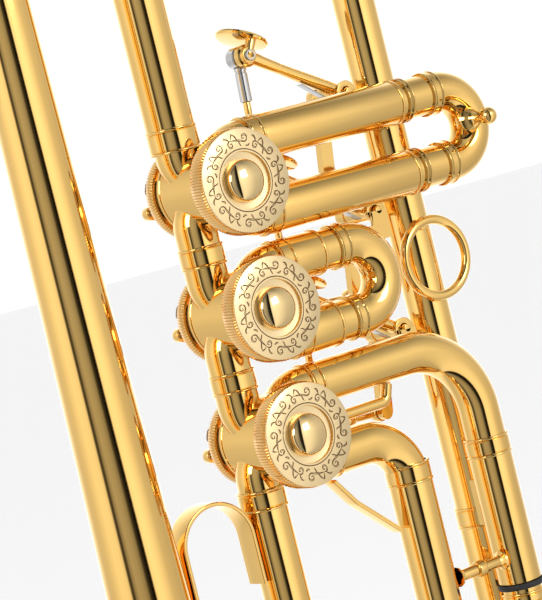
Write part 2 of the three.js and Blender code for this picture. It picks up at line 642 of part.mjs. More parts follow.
const crankArm = () => CRANK_RADIUS * Math.SQRT2 / (2 * Math.sin(THREE.MathUtils.degToRad(LEVER_TRAVEL / 2)));

// The lever's lower pin, relative to the valve's axis.
function lowerPin() {
  const half = THREE.MathUtils.degToRad(LEVER_TRAVEL / 2);
  return [HINGE_X - crankArm() * Math.sin(half), HINGE_Z - crankArm() * Math.cos(half)];
}

function lever(z) {
  const hinge = [HINGE_X, z + HINGE_Z];
  const tip = [TIP_X, z + TIP_Z];
  const armDirection = at(TIP_X - HINGE_X, 0, TIP_Z - HINGE_Z).normalize();
  const press = at(-armDirection.z, 0, armDirection.x).multiplyScalar(-1);
  const tipPoint = at(tip[0], LEVER_Y, tip[1]);
  const arm = bar(at(hinge[0], LEVER_Y, hinge[1]), tipPoint, ARM_RADIUS, SMALL_SIDES);
  const bossEnd = EYE_Y - PLUNGER_RADIUS - GAP;
  const boss = bar(at(tip[0], LEVER_Y - ARM_RADIUS, tip[1]), at(tip[0], bossEnd, tip[1]), 3.4);
  const pin = bar(at(tip[0], LEVER_Y, tip[1]), at(tip[0], EYE_Y + 1.6, tip[1]), 1.3, SMALL_SIDES);
  const barrelStart = BRACKET_BACK + GAP;
  const barrel = bar(at(hinge[0], barrelStart, hinge[1]), at(hinge[0], CRANK_BACK, hinge[1]), 3.4);
  const bore = bar(at(hinge[0], 0, hinge[1]), at(hinge[0], CRANK_BACK + 2, hinge[1]), 1.3 + GAP);
  const [pinX, pinZ] = lowerPin();
  const drop = strapBetween(hinge, [pinX, z + pinZ], 2.2, CRANK_BACK - CRANK_THICKNESS, CRANK_BACK);
  const crankStud = bar(at(pinX, CRANK_BACK - 1, z + pinZ), at(pinX, LINK_Y + 1.6, z + pinZ), 1, SMALL_SIDES);
  const touchCentre = at(TIP_X, LEVER_Y + TOUCH_BACK, z + TIP_Z).addScaledVector(press, 5.6);
  const half = press.clone().multiplyScalar(TOUCH_THICKNESS / 2);
  const touch = bar(touchCentre.clone().sub(half), touchCentre.clone().add(half), TOUCH_RADIUS, 14);
  const stalkFoot = at(TIP_X, LEVER_Y - 1, z + TIP_Z);
  const stalk = bar(stalkFoot, stalkFoot.clone().addScaledVector(press, 5.6), 1.6, SMALL_SIDES);
  return join(cut(join(arm, barrel, drop), bore), boss, pin, crankStud, stalk, touch);
}

function leverBracket(z) {
  const y = SLEEVE_RADIUS + GAP;
  const hingeZ = z + HINGE_Z;
  const beamZ = z + LEG_OFFSET;
  const beam = box(at(FOOT_X - 7, y, beamZ - 2.2), at(HINGE_X + 3, BRACKET_BACK, beamZ + 2.2));
  const riser = box(at(HINGE_X - 3, y, beamZ), at(HINGE_X + 3, BRACKET_BACK, hingeZ));
  const shaft = bar(at(HINGE_X, y, hingeZ), at(HINGE_X, CRANK_BACK + 1.2, hingeZ), 1.3, SMALL_SIDES);
  const footPin = bar(at(FOOT_X, y, z + FOOT_Z), at(FOOT_X, EYE_Y + 1.2, z + FOOT_Z), 0.9, SMALL_SIDES);
  return join(beam, riser, shaft, footPin);
}

const rodDirection = at(TIP_X - FOOT_X, 0, TIP_Z - FOOT_Z).normalize();
const ROD_RADIUS = 1.15;
const ROD_EYE_RADIUS = 2.1;
const plungerReach = Math.hypot(TIP_X - FOOT_X, TIP_Z - FOOT_Z);

// How near the lever's tip comes to the rod's foot when the lever is down.
function pressedReach() {
  const arm = Math.hypot(TIP_X - HINGE_X, TIP_Z - HINGE_Z);
  const angle = Math.atan2(TIP_Z - HINGE_Z, TIP_X - HINGE_X) + THREE.MathUtils.degToRad(LEVER_TRAVEL);
  return Math.hypot(HINGE_X + arm * Math.cos(angle) - FOOT_X, HINGE_Z + arm * Math.sin(angle) - FOOT_Z);
}

const plungerStroke = plungerReach - pressedReach();
const sleeveEnd = pressedReach() - ROD_EYE_RADIUS - GAP; // distances from the lever's tip
const rodEnd = sleeveEnd - GAP;
const boreEnd = rodEnd - plungerStroke - GAP;

function plungerSleeve(z) {
  const tip = at(TIP_X, EYE_Y, z + TIP_Z);
  const half = at(0, PLUNGER_RADIUS, 0);
  const eye = pipe(tip.clone().sub(half), tip.clone().add(half), 3.75, 1.3 + GAP);
  const along = (distance) => tip.clone().addScaledVector(rodDirection, -distance);
  const barrel = bar(along(3), along(sleeveEnd), PLUNGER_RADIUS);
  const bore = bar(along(boreEnd), along(sleeveEnd + 3), ROD_RADIUS + GAP);
  return cut(join(eye, barrel), bore);
}

function plungerRod(z) {
  const foot = at(FOOT_X, EYE_Y, z + FOOT_Z);
  const half = at(0, 1.2, 0);
  const eye = pipe(foot.clone().sub(half), foot.clone().add(half), ROD_EYE_RADIUS, 0.9 + GAP);
  const rod = bar(foot.clone().addScaledVector(rodDirection, 1.6),
    foot.clone().addScaledVector(rodDirection, plungerReach - rodEnd), ROD_RADIUS, SMALL_SIDES);
  return join(eye, rod);
}

function link(z) {
  const [pinX, pinZ] = lowerPin();
  const right = at(pinX, LINK_Y, z + pinZ);
  const left = at(-crankPin, LINK_Y, z - crankPin);
  const half = LINK_THICKNESS / 2;
  const rightEye = pipe(right.clone().add(at(0, -half, 0)), right.clone().add(at(0, half, 0)), 2.6, 1 + GAP);
  const leftEnd = bar(left.clone().add(at(0, -half, 0)), left.clone().add(at(0, half, 0)), 2.1);
  const along = right.clone().sub(left).normalize();
  const rod = bar(left, right.clone().addScaledVector(along, -2), 1.2, SMALL_SIDES);
  const socket = turned([[0, -3.4], [1.6, -3.2], [2.3, -1.6], [2.3, 1.6], [1.6, 3.2], [0, 3.4]],
    left.clone().lerp(right, 0.8), along, 8);
  return join(rightEye, leftEnd, rod, socket);
}

// ---------- small fittings ----------
const RING_X = LEADPIPE_X + 1.3;
const RING_Y = LEADPIPE_Y - TUBE_RADIUS - FINGER_RING_WIRE - GAP;
const RING_Z = MIDDLE_VALVE_Z - 1.4;

function fingerRing() {
  const ring = new THREE.TorusGeometry(FINGER_RING_RADIUS, FINGER_RING_WIRE, 6, 20);
  ring.rotateX(Math.PI / 2);
  ring.translate(RING_X, RING_Y, RING_Z);
  const footZ = RING_Z + FINGER_RING_RADIUS - 0.6;
  const pipeFront = LEADPIPE_Y - TUBE_RADIUS - GAP - 0.1;
  const foot = bar(at(LEADPIPE_X, RING_Y, footZ), at(LEADPIPE_X, pipeFront, footZ), 2);
  return join(toSolid(ring), foot);
}

function flatStrip(width, thickness) {
  const w = width / 2;
  const t = thickness / 2;
  return new THREE.Shape([new THREE.Vector2(-w, -t), new THREE.Vector2(w, -t), new THREE.Vector2(w, t),
    new THREE.Vector2(-w, t)]);
}

function alongRoute(route, width, thickness) {
  const acrossY = sweep(flatStrip(width, thickness), route);
  const size = acrossY.boundingBox();
  if (size.max[1] - size.min[1] > width * 0.9) return acrossY;
  return sweep(flatStrip(thickness, width), route);
}

function bellStrap() {
  const top = valveZ(3) - 12.5;
  const bottom = top - 26;
  const left = BELL_X + bellRadius(bottom) + 1.6;
  const right = ROW_TUBE_X - SLEEVE_RADIUS - GAP - 1.2;
  const corners = [at(left, 0, bottom - 14), at(left, 0, top), at(right, 0, top), at(right, 0, bottom)];
  const route = new Route(corners, (right - left) / 2 - 0.05, 4);
  return alongRoute(route, 8, 1.2);
}

const BRACE_DROP = 57;

function slideBrace() {
  const z = valveZ(3) - BRACE_DROP;
  const y = -SLEEVE_RADIUS * 0.35;
  const half = Math.sqrt(SLEEVE_RADIUS ** 2 - y ** 2) + 2 * GAP;
  const from = at(SLIDE_3_INNER_X + half, y, z);
  const to = at(SLIDE_3_OUTER_X - half, y, z);
  const middle = (from.x + to.x) / 2;
  const flange = (left) => box(at(left, y - 3, z - 4), at(left + 1, y + 2, z + 4));
  const bead = ferrule(at(middle, y, z), AXIS.x, 1, 2.5, 3);
  return join(bar(from, to, 1.7), bead, flange(from.x), flange(to.x - 1));
}

function sideStrap() {
  const z = valveZ(3) - LEG_OFFSET - TUBE_RADIUS - GAP - 0.8;
  const end = SLIDE_3_INNER_X - SLEEVE_RADIUS - GAP - 1;
  const route = new Route([at(17, 0, z), at(23, 0, z - 8), at(end - 0.4, 0, z - 20)], 8, 3);
  return alongRoute(route, 5, 1.4);
}

function legBrace() {
  const z = valveZ(3);
  const top = z + LEG_OFFSET - TUBE_RADIUS - GAP;
  const run = z - 0.8;
  const route = new Route([at(CASING_RADIUS - 1, 0, run), at(43, 0, run), at(44.8, 0, top)], 2.6, 4);
  return cut(sweep(circle(1.7, 8), route), casingSpace(z));
}

function leadpipeSaddle() {
  const z = valveZ(3) - 40;
  const from = SLEEVE_RADIUS * 0.8;
  const to = LEADPIPE_Y - TUBE_RADIUS * 0.8;
  const block = box(at(SLIDE_3_OUTER_X - 3, from, z - 7), at(SLIDE_3_OUTER_X + 4, to, z + 7));
  const spaceRound = (x, y, radius) => bar(at(x, y, z - 9), at(x, y, z + 9), radius, VALVE_SIDES);
  const slide = spaceRound(SLIDE_3_OUTER_X, 0, SLEEVE_RADIUS + 2 * GAP);
  const pipeSpace = spaceRound(LEADPIPE_X, LEADPIPE_Y, SLEEVE_RADIUS + 0.8);
  return cut(block, slide, pipeSpace);
}

function bumperRing() {
  const z = valveZ(3) - SLIDE_3_SLEEVE_DROP - GAP;
  const ends = [at(SLIDE_3_OUTER_X, 0, z - 1.8), at(SLIDE_3_OUTER_X, 0, z)];
  return pipe(...ends, SLEEVE_RADIUS + 0.5, SLIDE_RADIUS + 0.25);
}

addPiece('bell', bell(), GOLD);
addPiece('bell_bow', bellBow(), GOLD);
addPiece('valve_to_bell_tube', valveToBellTube(), GOLD);
addPiece('knuckle_1_2', knuckle(1, 2), GOLD);
addPiece('knuckle_2_3', knuckle(2, 3), GOLD);
addPiece('inlet_tube', inletTube(), GOLD);
addPiece('leadpipe', leadpipe(), GOLD);
addPiece('mouthpiece_receiver', receiver(), GOLD);
addPiece('mouthpiece', mouthpiece(), GOLD);
addPiece('main_slide', mainSlide(), GOLD);
addPiece('water_key', waterKey(), GOLD);
addPiece('slide_1_upper_sleeve', slideSleeve(valveZ(1), 1, SLIDE_1_SLEEVE_END), GOLD);
addPiece('slide_1_lower_sleeve', slideSleeve(valveZ(1), -1, SLIDE_1_SLEEVE_END), GOLD);
addPiece('slide_2_upper_sleeve', slideSleeve(valveZ(2), 1, SLIDE_2_SLEEVE_END), GOLD);
addPiece('slide_2_lower_sleeve', slideSleeve(valveZ(2), -1, SLIDE_2_SLEEVE_END), GOLD);
addPiece('slide_3_outer_sleeve', slideThreeSleeve(1), GOLD);
addPiece('slide_3_inner_sleeve', slideThreeSleeve(-1), GOLD);
addPiece('slide_1', slideOne(), GOLD);
addPiece('slide_2', slideTwo(), GOLD);
addPiece('slide_3', slideThree(), GOLD);
addPiece('finger_ring', fingerRing(), GOLD);
addPiece('bell_strap', bellStrap(), GOLD);
addPiece('slide_brace', slideBrace(), GOLD);
addPiece('side_strap', sideStrap(), GOLD);
addPiece('leg_brace', legBrace(), GOLD);
addPiece('leadpipe_saddle', leadpipeSaddle(), GOLD);
addPiece('slide_bumper_ring', bumperRing(), RUBBER);
for (const number of VALVES) {
  const z = valveZ(number);
  addPiece(`valve_casing_${number}`, casing(z), GOLD);
  addPiece(`bearing_plate_${number}`, bearingPlate(z), GOLD);
  addPiece(`valve_cap_${number}`, valveCap(z), CHAMPAGNE);
  addPiece(`rotor_${number}`, rotor(z), STEEL);
  addPiece(`stop_arm_${number}`, stopArm(z), NICKEL);
  addPiece(`stop_bumper_${number}`, bumper(z), CORK);
  addPiece(`lever_bracket_${number}`, leverBracket(z), GOLD);
  addPiece(`lever_${number}`, lever(z), GOLD);
  addPiece(`link_${number}`, link(z), GOLD);
  addPiece(`plunger_sleeve_${number}`, plungerSleeve(z), NICKEL);
  addPiece(`plunger_rod_${number}`, plungerRod(z), GOLD);
}

// The origin sits under the middle of the whole instrument, in the plane of the bell's rim.
const extent = new THREE.Box3().setFromObject(trumpet, true);
trumpet.position.set(-(extent.min.x + extent.max.x) / 2, -(extent.min.y + extent.max.y) / 2, -extent.min.z);

export default trumpet;
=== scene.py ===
import json
import math

import bmesh
import bpy
from mathutils import Matrix, Quaternion, Vector


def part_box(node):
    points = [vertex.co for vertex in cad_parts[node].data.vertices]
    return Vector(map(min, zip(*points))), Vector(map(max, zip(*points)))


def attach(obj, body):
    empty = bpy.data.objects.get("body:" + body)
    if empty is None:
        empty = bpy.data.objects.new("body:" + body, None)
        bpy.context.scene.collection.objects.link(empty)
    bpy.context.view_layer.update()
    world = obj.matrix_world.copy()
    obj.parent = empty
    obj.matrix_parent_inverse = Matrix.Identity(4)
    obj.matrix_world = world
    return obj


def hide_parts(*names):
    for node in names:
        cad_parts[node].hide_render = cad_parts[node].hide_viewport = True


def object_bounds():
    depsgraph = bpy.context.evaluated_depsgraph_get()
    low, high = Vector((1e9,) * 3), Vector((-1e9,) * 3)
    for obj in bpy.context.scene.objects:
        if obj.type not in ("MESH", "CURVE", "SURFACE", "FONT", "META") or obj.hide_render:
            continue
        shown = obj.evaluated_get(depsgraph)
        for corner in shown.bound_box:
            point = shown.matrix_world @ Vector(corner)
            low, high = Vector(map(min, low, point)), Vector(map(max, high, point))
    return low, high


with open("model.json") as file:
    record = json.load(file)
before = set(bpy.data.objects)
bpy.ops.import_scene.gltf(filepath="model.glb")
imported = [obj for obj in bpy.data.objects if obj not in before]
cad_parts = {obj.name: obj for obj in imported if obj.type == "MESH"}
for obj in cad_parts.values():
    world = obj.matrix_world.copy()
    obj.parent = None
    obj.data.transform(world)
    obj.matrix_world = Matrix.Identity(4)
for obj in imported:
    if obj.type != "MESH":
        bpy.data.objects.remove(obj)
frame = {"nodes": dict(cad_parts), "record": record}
CAD_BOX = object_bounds()

# ---------- sizes, in millimetres, measured from the valve row ----------
MM = 0.001
TUBE = 6.2
BORE = 5.6
SLEEVE = 6.6
SLEEVE_BORE = 6.35
SLIDE = 6.0
SLIDE_3_INNER_X = 44.7
SLIDE_3_OUTER_X = 76
BAND_START = 17.4  # where a valve slide's first ferrule sits
BELL_TUBE = 7.05
BOW = 7.6
KNUCKLE_BEND = 9
LEG_OFFSET = 10.6
ROW_TUBE_X = -7.2
BELL_LENGTH = 473
BELL_LAW = 0.5625
BELL_THROAT = 10.55
BELL_THROAT_AT = 270
RIM = 65
CAP_FACE = -19.9
CASING_FRONT = -16.6
CASING_BACK = 11.8
HINGE = (62.6, 17.1)
TIP = (31.9, 34.2)
FOOT = (30.4, 9.4)
LEVER_TRAVEL = math.radians(16.5)
LEVER_Y = 11.15
EYE_Y = 15.4
LINK_Y = 26.6
CRANK = 5 / math.sqrt(2)
FINE = 96  # facets round a large turned piece
ROUND = 48  # facets round a tube
SMALL = 20  # facets round a pin

X_AXIS = Vector((1, 0, 0))
Y_AXIS = Vector((0, 1, 0))
Z_AXIS = Vector((0, 0, 1))


def middle(node):
    low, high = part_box(node)
    return (low + high) / 2


ROW_X = middle("valve_cap_2").x / MM
VALVE_Z = {n: middle(f"valve_cap_{n}").z / MM for n in (1, 2, 3)}
BELL_X = middle("bell").x / MM - ROW_X
LEADPIPE_X = middle("leadpipe").x / MM - ROW_X
LEADPIPE_Y = middle("leadpipe").y / MM
BODY_OF = {n: b for b, ns in frame["record"]["behaviour"]["bodies"].items() for n in ns}


def at(x, y, z):
    return Vector((x, y, z))


# ---------- mesh making ----------
def softened(profile, radius=0.25, steps=3):
    """The same outline with each sharp corner rounded, so that its edge catches light."""
    closed = profile[0] == profile[-1]
    points = [Vector(p) for p in profile]
    if closed:
        points = points[:-1]
    count = len(points)
    made = []
    for i, corner in enumerate(points):
        if not closed and i in (0, count - 1):
            made.append(tuple(corner))
            continue
        before = points[i - 1]
        after = points[(i + 1) % count]
        inward, outward = before - corner, after - corner
        room = 0.4 * min(inward.length, outward.length)
        if room < 1e-6 or inward.angle(outward, math.pi) > math.radians(168):
            made.append(tuple(corner))
            continue
        reach = min(radius, room)
        start = corner + inward.normalized() * reach
        end = corner + outward.normalized() * reach
        for k in range(steps + 1):
            t = k / steps
            point = start * (1 - t) ** 2 + corner * (2 * t * (1 - t)) + end * t ** 2
            made.append(tuple(point))
    if closed:
        made.append(made[0])
    return made


def frame_about(direction):
    turn = Z_AXIS.rotation_difference(direction.normalized())
    return turn @ X_AXIS, turn @ Y_AXIS, direction.normalized()


def lathe(bm, profile, origin, direction, sides=FINE, ripple=None):
    """Turns [radius, height] points about a line. ripple(radius, height, angle) may change a radius."""
    u, v, w = frame_about(direction)
    rings = []
    for radius, height in profile:
        if radius < 1e-6:
            rings.append([bm.verts.new(origin + w * height)])
            continue
        ring = []
        for i in range(sides):
            angle = 2 * math.pi * i / sides
            reach = ripple(radius, height, angle) if ripple else radius
            out = u * math.cos(angle) + v * math.sin(angle)
            ring.append(bm.verts.new(origin + w * height + out * reach))
        rings.append(ring)
    if profile[0] == profile[-1] and len(rings[0]) > 1:
        for vert in rings[-1]:
            bm.verts.remove(vert)
        rings[-1] = rings[0]
    for low, high in zip(rings, rings[1:]):
        for i in range(sides):
            j = (i + 1) % sides
            if len(low) == 1 and len(high) == 1:
                continue
            if len(low) == 1:
                bm.faces.new((low[0], high[j], high[i]))
            elif len(high) == 1:
                bm.faces.new((low[i], low[j], high[0]))
            else:
                bm.faces.new((low[i], low[j], high[j], high[i]))


def bar(bm, start, end, radius, sides=SMALL, edge=0.25):
    length = (end - start).length
    outline = [(0, 0), (radius, 0), (radius, length), (0, length)]
    lathe(bm, softened(outline, edge), start, end - start, sides)


def pipe(bm, start, end, outer, inner, sides=ROUND, edge=0.15):
    length = (end - start).length
    outline = [(inner, 0), (outer, 0), (outer, length), (inner, length), (inner, 0)]
    lathe(bm, softened(outline, edge), start, end - start, sides)


def route(points, bends, step=math.radians(5)):
    """Points along straight runs joined by round corners."""
    bends = bends if isinstance(bends, (list, tuple)) else [bends] * (len(points) - 2)
    made = [points[0].copy()]
    for i, bend in enumerate(bends, start=1):
        incoming = (points[i] - points[i - 1]).normalized()
        outgoing = (points[i + 1] - points[i]).normalized()
        turn = incoming.angle(outgoing)
        start = points[i] - incoming * bend * math.tan(turn / 2)
        inward = (outgoing - incoming * incoming.dot(outgoing)).normalized()
        centre = start + inward * bend
        steps = max(3, round(turn / step))
        for k in range(steps + 1):
            angle = turn * k / steps
            point = centre - inward * bend * math.cos(angle) + incoming * bend * math.sin(angle)
            if (point - made[-1]).length > 1e-3:
                made.append(point)
    if (points[-1] - made[-1]).length > 1e-3:
        made.append(points[-1].copy())
    return made


def along(path):
    """Each point's direction, and a side vector that doesn't twist."""
    tangents = []
    for i in range(len(path)):
        before, after = path[max(i - 1, 0)], path[min(i + 1, len(path) - 1)]
        tangents.append((after - before).normalized())
    side = tangents[0].orthogonal().normalized()
    frames = []
    for i, tangent in enumerate(tangents):
        if i:
            side = tangents[i - 1].rotation_difference(tangent) @ side
        frames.append((tangent, side, tangent.cross(side)))
    return frames


def sweep(bm, path, radius, inner=None, sides=ROUND):
    """A round tube along a path, open through its bore when inner is given."""
    frames = along(path)

    def skin(reach):
        rings = []
        for point, (_, u, v) in zip(path, frames):
            ring = []
            for i in range(sides):
                angle = 2 * math.pi * i / sides
                ring.append(bm.verts.new(point + (u * math.cos(angle) + v * math.sin(angle)) * reach))
            rings.append(ring)
        for low, high in zip(rings, rings[1:]):
            for i in range(sides):
                j = (i + 1) % sides
                bm.faces.new((low[i], low[j], high[j], high[i]))
        return rings[0], rings[-1]

    first, last = skin(radius)
    if inner is None:
        bm.faces.new(first)
        bm.faces.new(last)
        return
    inner_first, inner_last = skin(inner)
    for outside, inside in ((first, inner_first), (last, inner_last)):
        for i in range(sides):
            j = (i + 1) % sides
            bm.faces.new((outside[i], outside[j], inside[j], inside[i]))


def ribbon(bm, path, width_axis, width, thickness):
    """A flat strip along a path, its corners eased."""
    ease = min(width, thickness) * 0.3
    w, t = width / 2, thickness / 2
    outline = softened([(-w, -t), (w, -t), (w, t), (-w, t), (-w, -t)], ease)[:-1]
    rings = []
    for point, (tangent, _, _) in zip(path, along(path)):
        across = (width_axis - tangent * width_axis.dot(tangent)).normalized()
        normal = tangent.cross(across)
        rings.append([bm.verts.new(point + across * a + normal * b) for a, b in outline])
    for low, high in zip(rings, rings[1:]):
        for i in range(len(outline)):
            j = (i + 1) % len(outline)
            bm.faces.new((low[i], low[j], high[j], high[i]))
    bm.faces.new(rings[0])
    bm.faces.new(rings[-1])


def plate(bm, outline, y_from, y_to, edge=0.3):
    """A flat outline in the XZ plane with thickness along Y and eased edges."""
    part = bmesh.new()
    front = [part.verts.new((x, y_from, z)) for x, z in outline]
    back = [part.verts.new((x, y_to, z)) for x, z in outline]
    part.faces.new(front)
    part.faces.new(back)
    for i in range(len(outline)):
        j = (i + 1) % len(outline)
        part.faces.new((front[i], front[j], back[j], back[i]))
    rim = [e for e in part.edges if abs(e.verts[0].co.y - e.verts[1].co.y) < 1e-6]
    bmesh.ops.bevel(part, geom=rim, offset=edge, segments=2, affect="EDGES", clamp_overlap=True)
    add(bm, part)


def add(bm, part):
    mesh = bpy.data.meshes.new("part")
    part.to_mesh(mesh)
    part.free()
    bm.from_mesh(mesh)
    bpy.data.meshes.remove(mesh)


def strap_outline(start, end, radius, steps=10):
    angle = math.atan2(end[1] - start[1], end[0] - start[0])

    def cap(point, first):
        return [(point[0] + radius * math.cos(first + math.pi * i / steps),
                 point[1] + radius * math.sin(first + math.pi * i / steps)) for i in range(steps + 1)]

    return cap(end, angle - math.pi / 2) + cap(start, angle + math.pi / 2)


# A ferrule's outline: a fine bead at each end and a cut line inside each bead.
def ferrule(bm, centre, direction, pipe_radius, width, rise=0.55, bead=0.75, line=0.18):
    half = width / 2
    inside = pipe_radius - 0.25
    high = pipe_radius + rise
    plateau = pipe_radius + rise * 0.62
    outline = [(inside, -half), (pipe_radius + 0.1, -half)]
    for sign in (-1, 1):
        at_bead = sign * (half - bead / 2)
        bead_points = [(plateau + (high - plateau) * math.sin(math.pi * k / 6),
                        at_bead - bead / 2 + bead * k / 6) for k in range(7)]
        cut_at = at_bead - sign * (bead / 2 + line)
        cut = [(plateau, cut_at - line), (plateau - line, cut_at), (plateau, cut_at + line)]
        outline += bead_points + cut if sign < 0 else cut + bead_points
    outline += [(pipe_radius + 0.1, half), (inside, half), (inside, -half)]
    lathe(bm, outline, centre, direction, FINE)


# ---------- materials ----------
def brass(name, color, deep, roughness, grain=0.0, coat=0.25):
    """Lacquered metal: slow colour drift, fine polishing marks and a thin clear coat."""
    material = bpy.data.materials.new(name)
    material.use_nodes = True
    nodes, links = material.node_tree.nodes, material.node_tree.links
    shader = nodes["Principled BSDF"]
    shader.inputs["Metallic"].default_value = 1.0
    shader.inputs["Coat Weight"].default_value = coat
    shader.inputs["Coat Roughness"].default_value = 0.04
    place = nodes.new("ShaderNodeTexCoord")

    drift = nodes.new("ShaderNodeTexNoise")
    drift.inputs["Scale"].default_value = 26
    drift.inputs["Detail"].default_value = 3
    links.new(place.outputs["Object"], drift.inputs["Vector"])
    tone = nodes.new("ShaderNodeMix")
    tone.data_type = "RGBA"
    tone.inputs["A"].default_value = (*color, 1)
    tone.inputs["B"].default_value = (*deep, 1)
    links.new(drift.outputs["Fac"], tone.inputs["Factor"])
    links.new(tone.outputs["Result"], shader.inputs["Base Color"])

    marks = nodes.new("ShaderNodeTexNoise")
    marks.inputs["Scale"].default_value = 900
    marks.inputs["Detail"].default_value = 4
    links.new(place.outputs["Object"], marks.inputs["Vector"])
    rough = nodes.new("ShaderNodeMapRange")
    rough.inputs["To Min"].default_value = roughness * 0.75
    rough.inputs["To Max"].default_value = roughness * 1.3
    links.new(marks.outputs["Fac"], rough.inputs["Value"])
    links.new(rough.outputs["Result"], shader.inputs["Roughness"])
    bump = nodes.new("ShaderNodeBump")
    bump.inputs["Strength"].default_value = 0.03 + grain
    bump.inputs["Distance"].default_value = 0.00004
    links.new(marks.outputs["Fac"], bump.inputs["Height"])
    links.new(bump.outputs["Normal"], shader.inputs["Normal"])
    return material


def dull(name, color, roughness, scale, depth):
    material = bpy.data.materials.new(name)
    material.use_nodes = True
    nodes, links = material.node_tree.nodes, material.node_tree.links
    shader = nodes["Principled BSDF"]
    shader.inputs["Roughness"].default_value = roughness
    place = nodes.new("ShaderNodeTexCoord")
    noise = nodes.new("ShaderNodeTexNoise")
    noise.inputs["Scale"].default_value = scale
    noise.inputs["Detail"].default_value = 6
    links.new(place.outputs["Object"], noise.inputs["Vector"])
    ramp = nodes.new("ShaderNodeMix")
    ramp.data_type = "RGBA"
    ramp.inputs["A"].default_value = (*[c * 0.6 for c in color], 1)
    ramp.inputs["B"].default_value = (*[min(1, c * 1.35) for c in color], 1)
    links.new(noise.outputs["Fac"], ramp.inputs["Factor"])
    links.new(ramp.outputs["Result"], shader.inputs["Base Color"])
    bump = nodes.new("ShaderNodeBump")
    bump.inputs["Strength"].default_value = depth
    bump.inputs["Distance"].default_value = 0.0001
    links.new(noise.outputs["Fac"], bump.inputs["Height"])
    links.new(bump.outputs["Normal"], shader.inputs["Normal"])
    return material


GOLD = brass("gold_brass", (0.94, 0.62, 0.20), (0.91, 0.56, 0.16), 0.07)
SATIN = brass("satin_gold", (0.93, 0.72, 0.40), (0.90, 0.67, 0.35), 0.30, grain=0.25, coat=0.1)
BUTTON = brass("polished_button", (0.93, 0.69, 0.33), (0.90, 0.64, 0.28), 0.06)
KNURL = brass("knurled_brass", (0.88, 0.56, 0.20), (0.80, 0.46, 0.14), 0.16)
NICKEL = brass("nickel_silver", (0.66, 0.64, 0.62), (0.58, 0.57, 0.56), 0.12)
STEEL = brass("steel", (0.52, 0.52, 0.54), (0.45, 0.45, 0.47), 0.28)
LINES = dull("engraved_line", (0.16, 0.08, 0.02), 0.6, 800, 0.2)
RUBBER = dull("rubber", (0.018, 0.018, 0.019), 0.62, 600, 0.4)
CORK = dull("cork", (0.34, 0.20, 0.10), 0.9, 500, 0.8)


# ---------- pieces ----------
def piece(name, material, body, builder, stands_for=(), sharp=math.radians(38)):
    """builder fills a mesh in row millimetres; it is placed in the frame, smoothed and set on its body."""
    bm = bmesh.new()
    builder(bm)
    bmesh.ops.remove_doubles(bm, verts=bm.verts, dist=1e-5)
    bmesh.ops.recalc_face_normals(bm, faces=bm.faces)
    bmesh.ops.transform(bm, matrix=Matrix.Translation(at(ROW_X, 0, 0)), verts=bm.verts)
    bmesh.ops.scale(bm, vec=(MM, MM, MM), verts=bm.verts)
    mesh = bpy.data.meshes.new(name)
    bm.to_mesh(mesh)
    bm.free()
    mesh.polygons.foreach_set("use_smooth", [True] * len(mesh.polygons))
    mesh.set_sharp_from_angle(angle=sharp)
    mesh.materials.append(material)
    made = bpy.data.objects.new(name, mesh)
    bpy.context.scene.collection.objects.link(made)
    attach(made, body)
    if stands_for:
        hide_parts(*stands_for)
    return made


def skin(node, material, builder, suffix="skin"):
    return piece(f"{node}_{suffix}", material, BODY_OF[node], builder, [node])


def detail(node, suffix, material, builder):
    return piece(f"{node}_{suffix}", material, BODY_OF[node], builder)


# ----- bell and main tubing -----
BELL_OFFSET = BELL_THROAT_AT / ((RIM / BELL_THROAT) ** (1 / BELL_LAW) - 1)


def bell_radius(z):
    return RIM * (BELL_OFFSET / (z + BELL_OFFSET)) ** BELL_LAW


def bell(bm):
    rows = 70
    wall = 0.6
    bead = 1.4
    heights = [3.4 + (BELL_LENGTH - 3.4) * (i / rows) ** 1.8 for i in range(rows + 1)]
    outside = [(bell_radius(z), z) for z in heights]
    inside = [(bell_radius(z) - wall, z) for z in reversed(heights)]
    roll = [(RIM - bead + bead * math.cos(a), bead + bead * math.sin(a))
            for a in [math.radians(d) for d in range(-150, 101, 18)]]
    outline = inside + [(RIM - bead * 2 - 1, 2.2)] + roll + outside + [inside[0]]
    lathe(bm, outline, at(BELL_X, 0, 0), Z_AXIS, 160)


def bell_bow(bm):
    reach = (ROW_TUBE_X - BELL_X) / 2
    top = BELL_LENGTH + 0.3
    throat = bell_radius(BELL_LENGTH)
    corners = [at(BELL_X, 0, top), at(BELL_X, 0, top + reach),
               at(ROW_TUBE_X, 0, top + reach), at(ROW_TUBE_X, 0, top)]
    sweep(bm, route(corners, reach), BOW, TUBE + 0.4)
    for x, pipe_radius in ((BELL_X, throat + 0.5), (ROW_TUBE_X, BOW)):
        ferrule(bm, at(x, 0, top - 3), Z_AXIS, pipe_radius, 10)


def port_route(z, side, offset, end, bends=KNUCKLE_BEND):
    """From inside the casing wall, out at 45 degrees, then along the points in end."""
    way = 1 if offset > 0 else -1
    reach = abs(offset)
    start = at(way * 3, 0, z + side * 3)
    return route([start, at(offset, 0, z + side * reach)] + end, bends)


def hug(bm, z, wall=11.6):
    """Brings the hidden start of a tube out to the casing's wall, so that it saddles on the casing."""
    centre = at(0, 0, z)
    for vert in bm.verts:
        away = at(vert.co.x, 0, vert.co.z - z)
        if away.length < wall:
            push = away.normalized() if away.length > 1e-6 else X_AXIS
            vert.co.x = push.x * wall
            vert.co.z = centre.z + push.z * wall


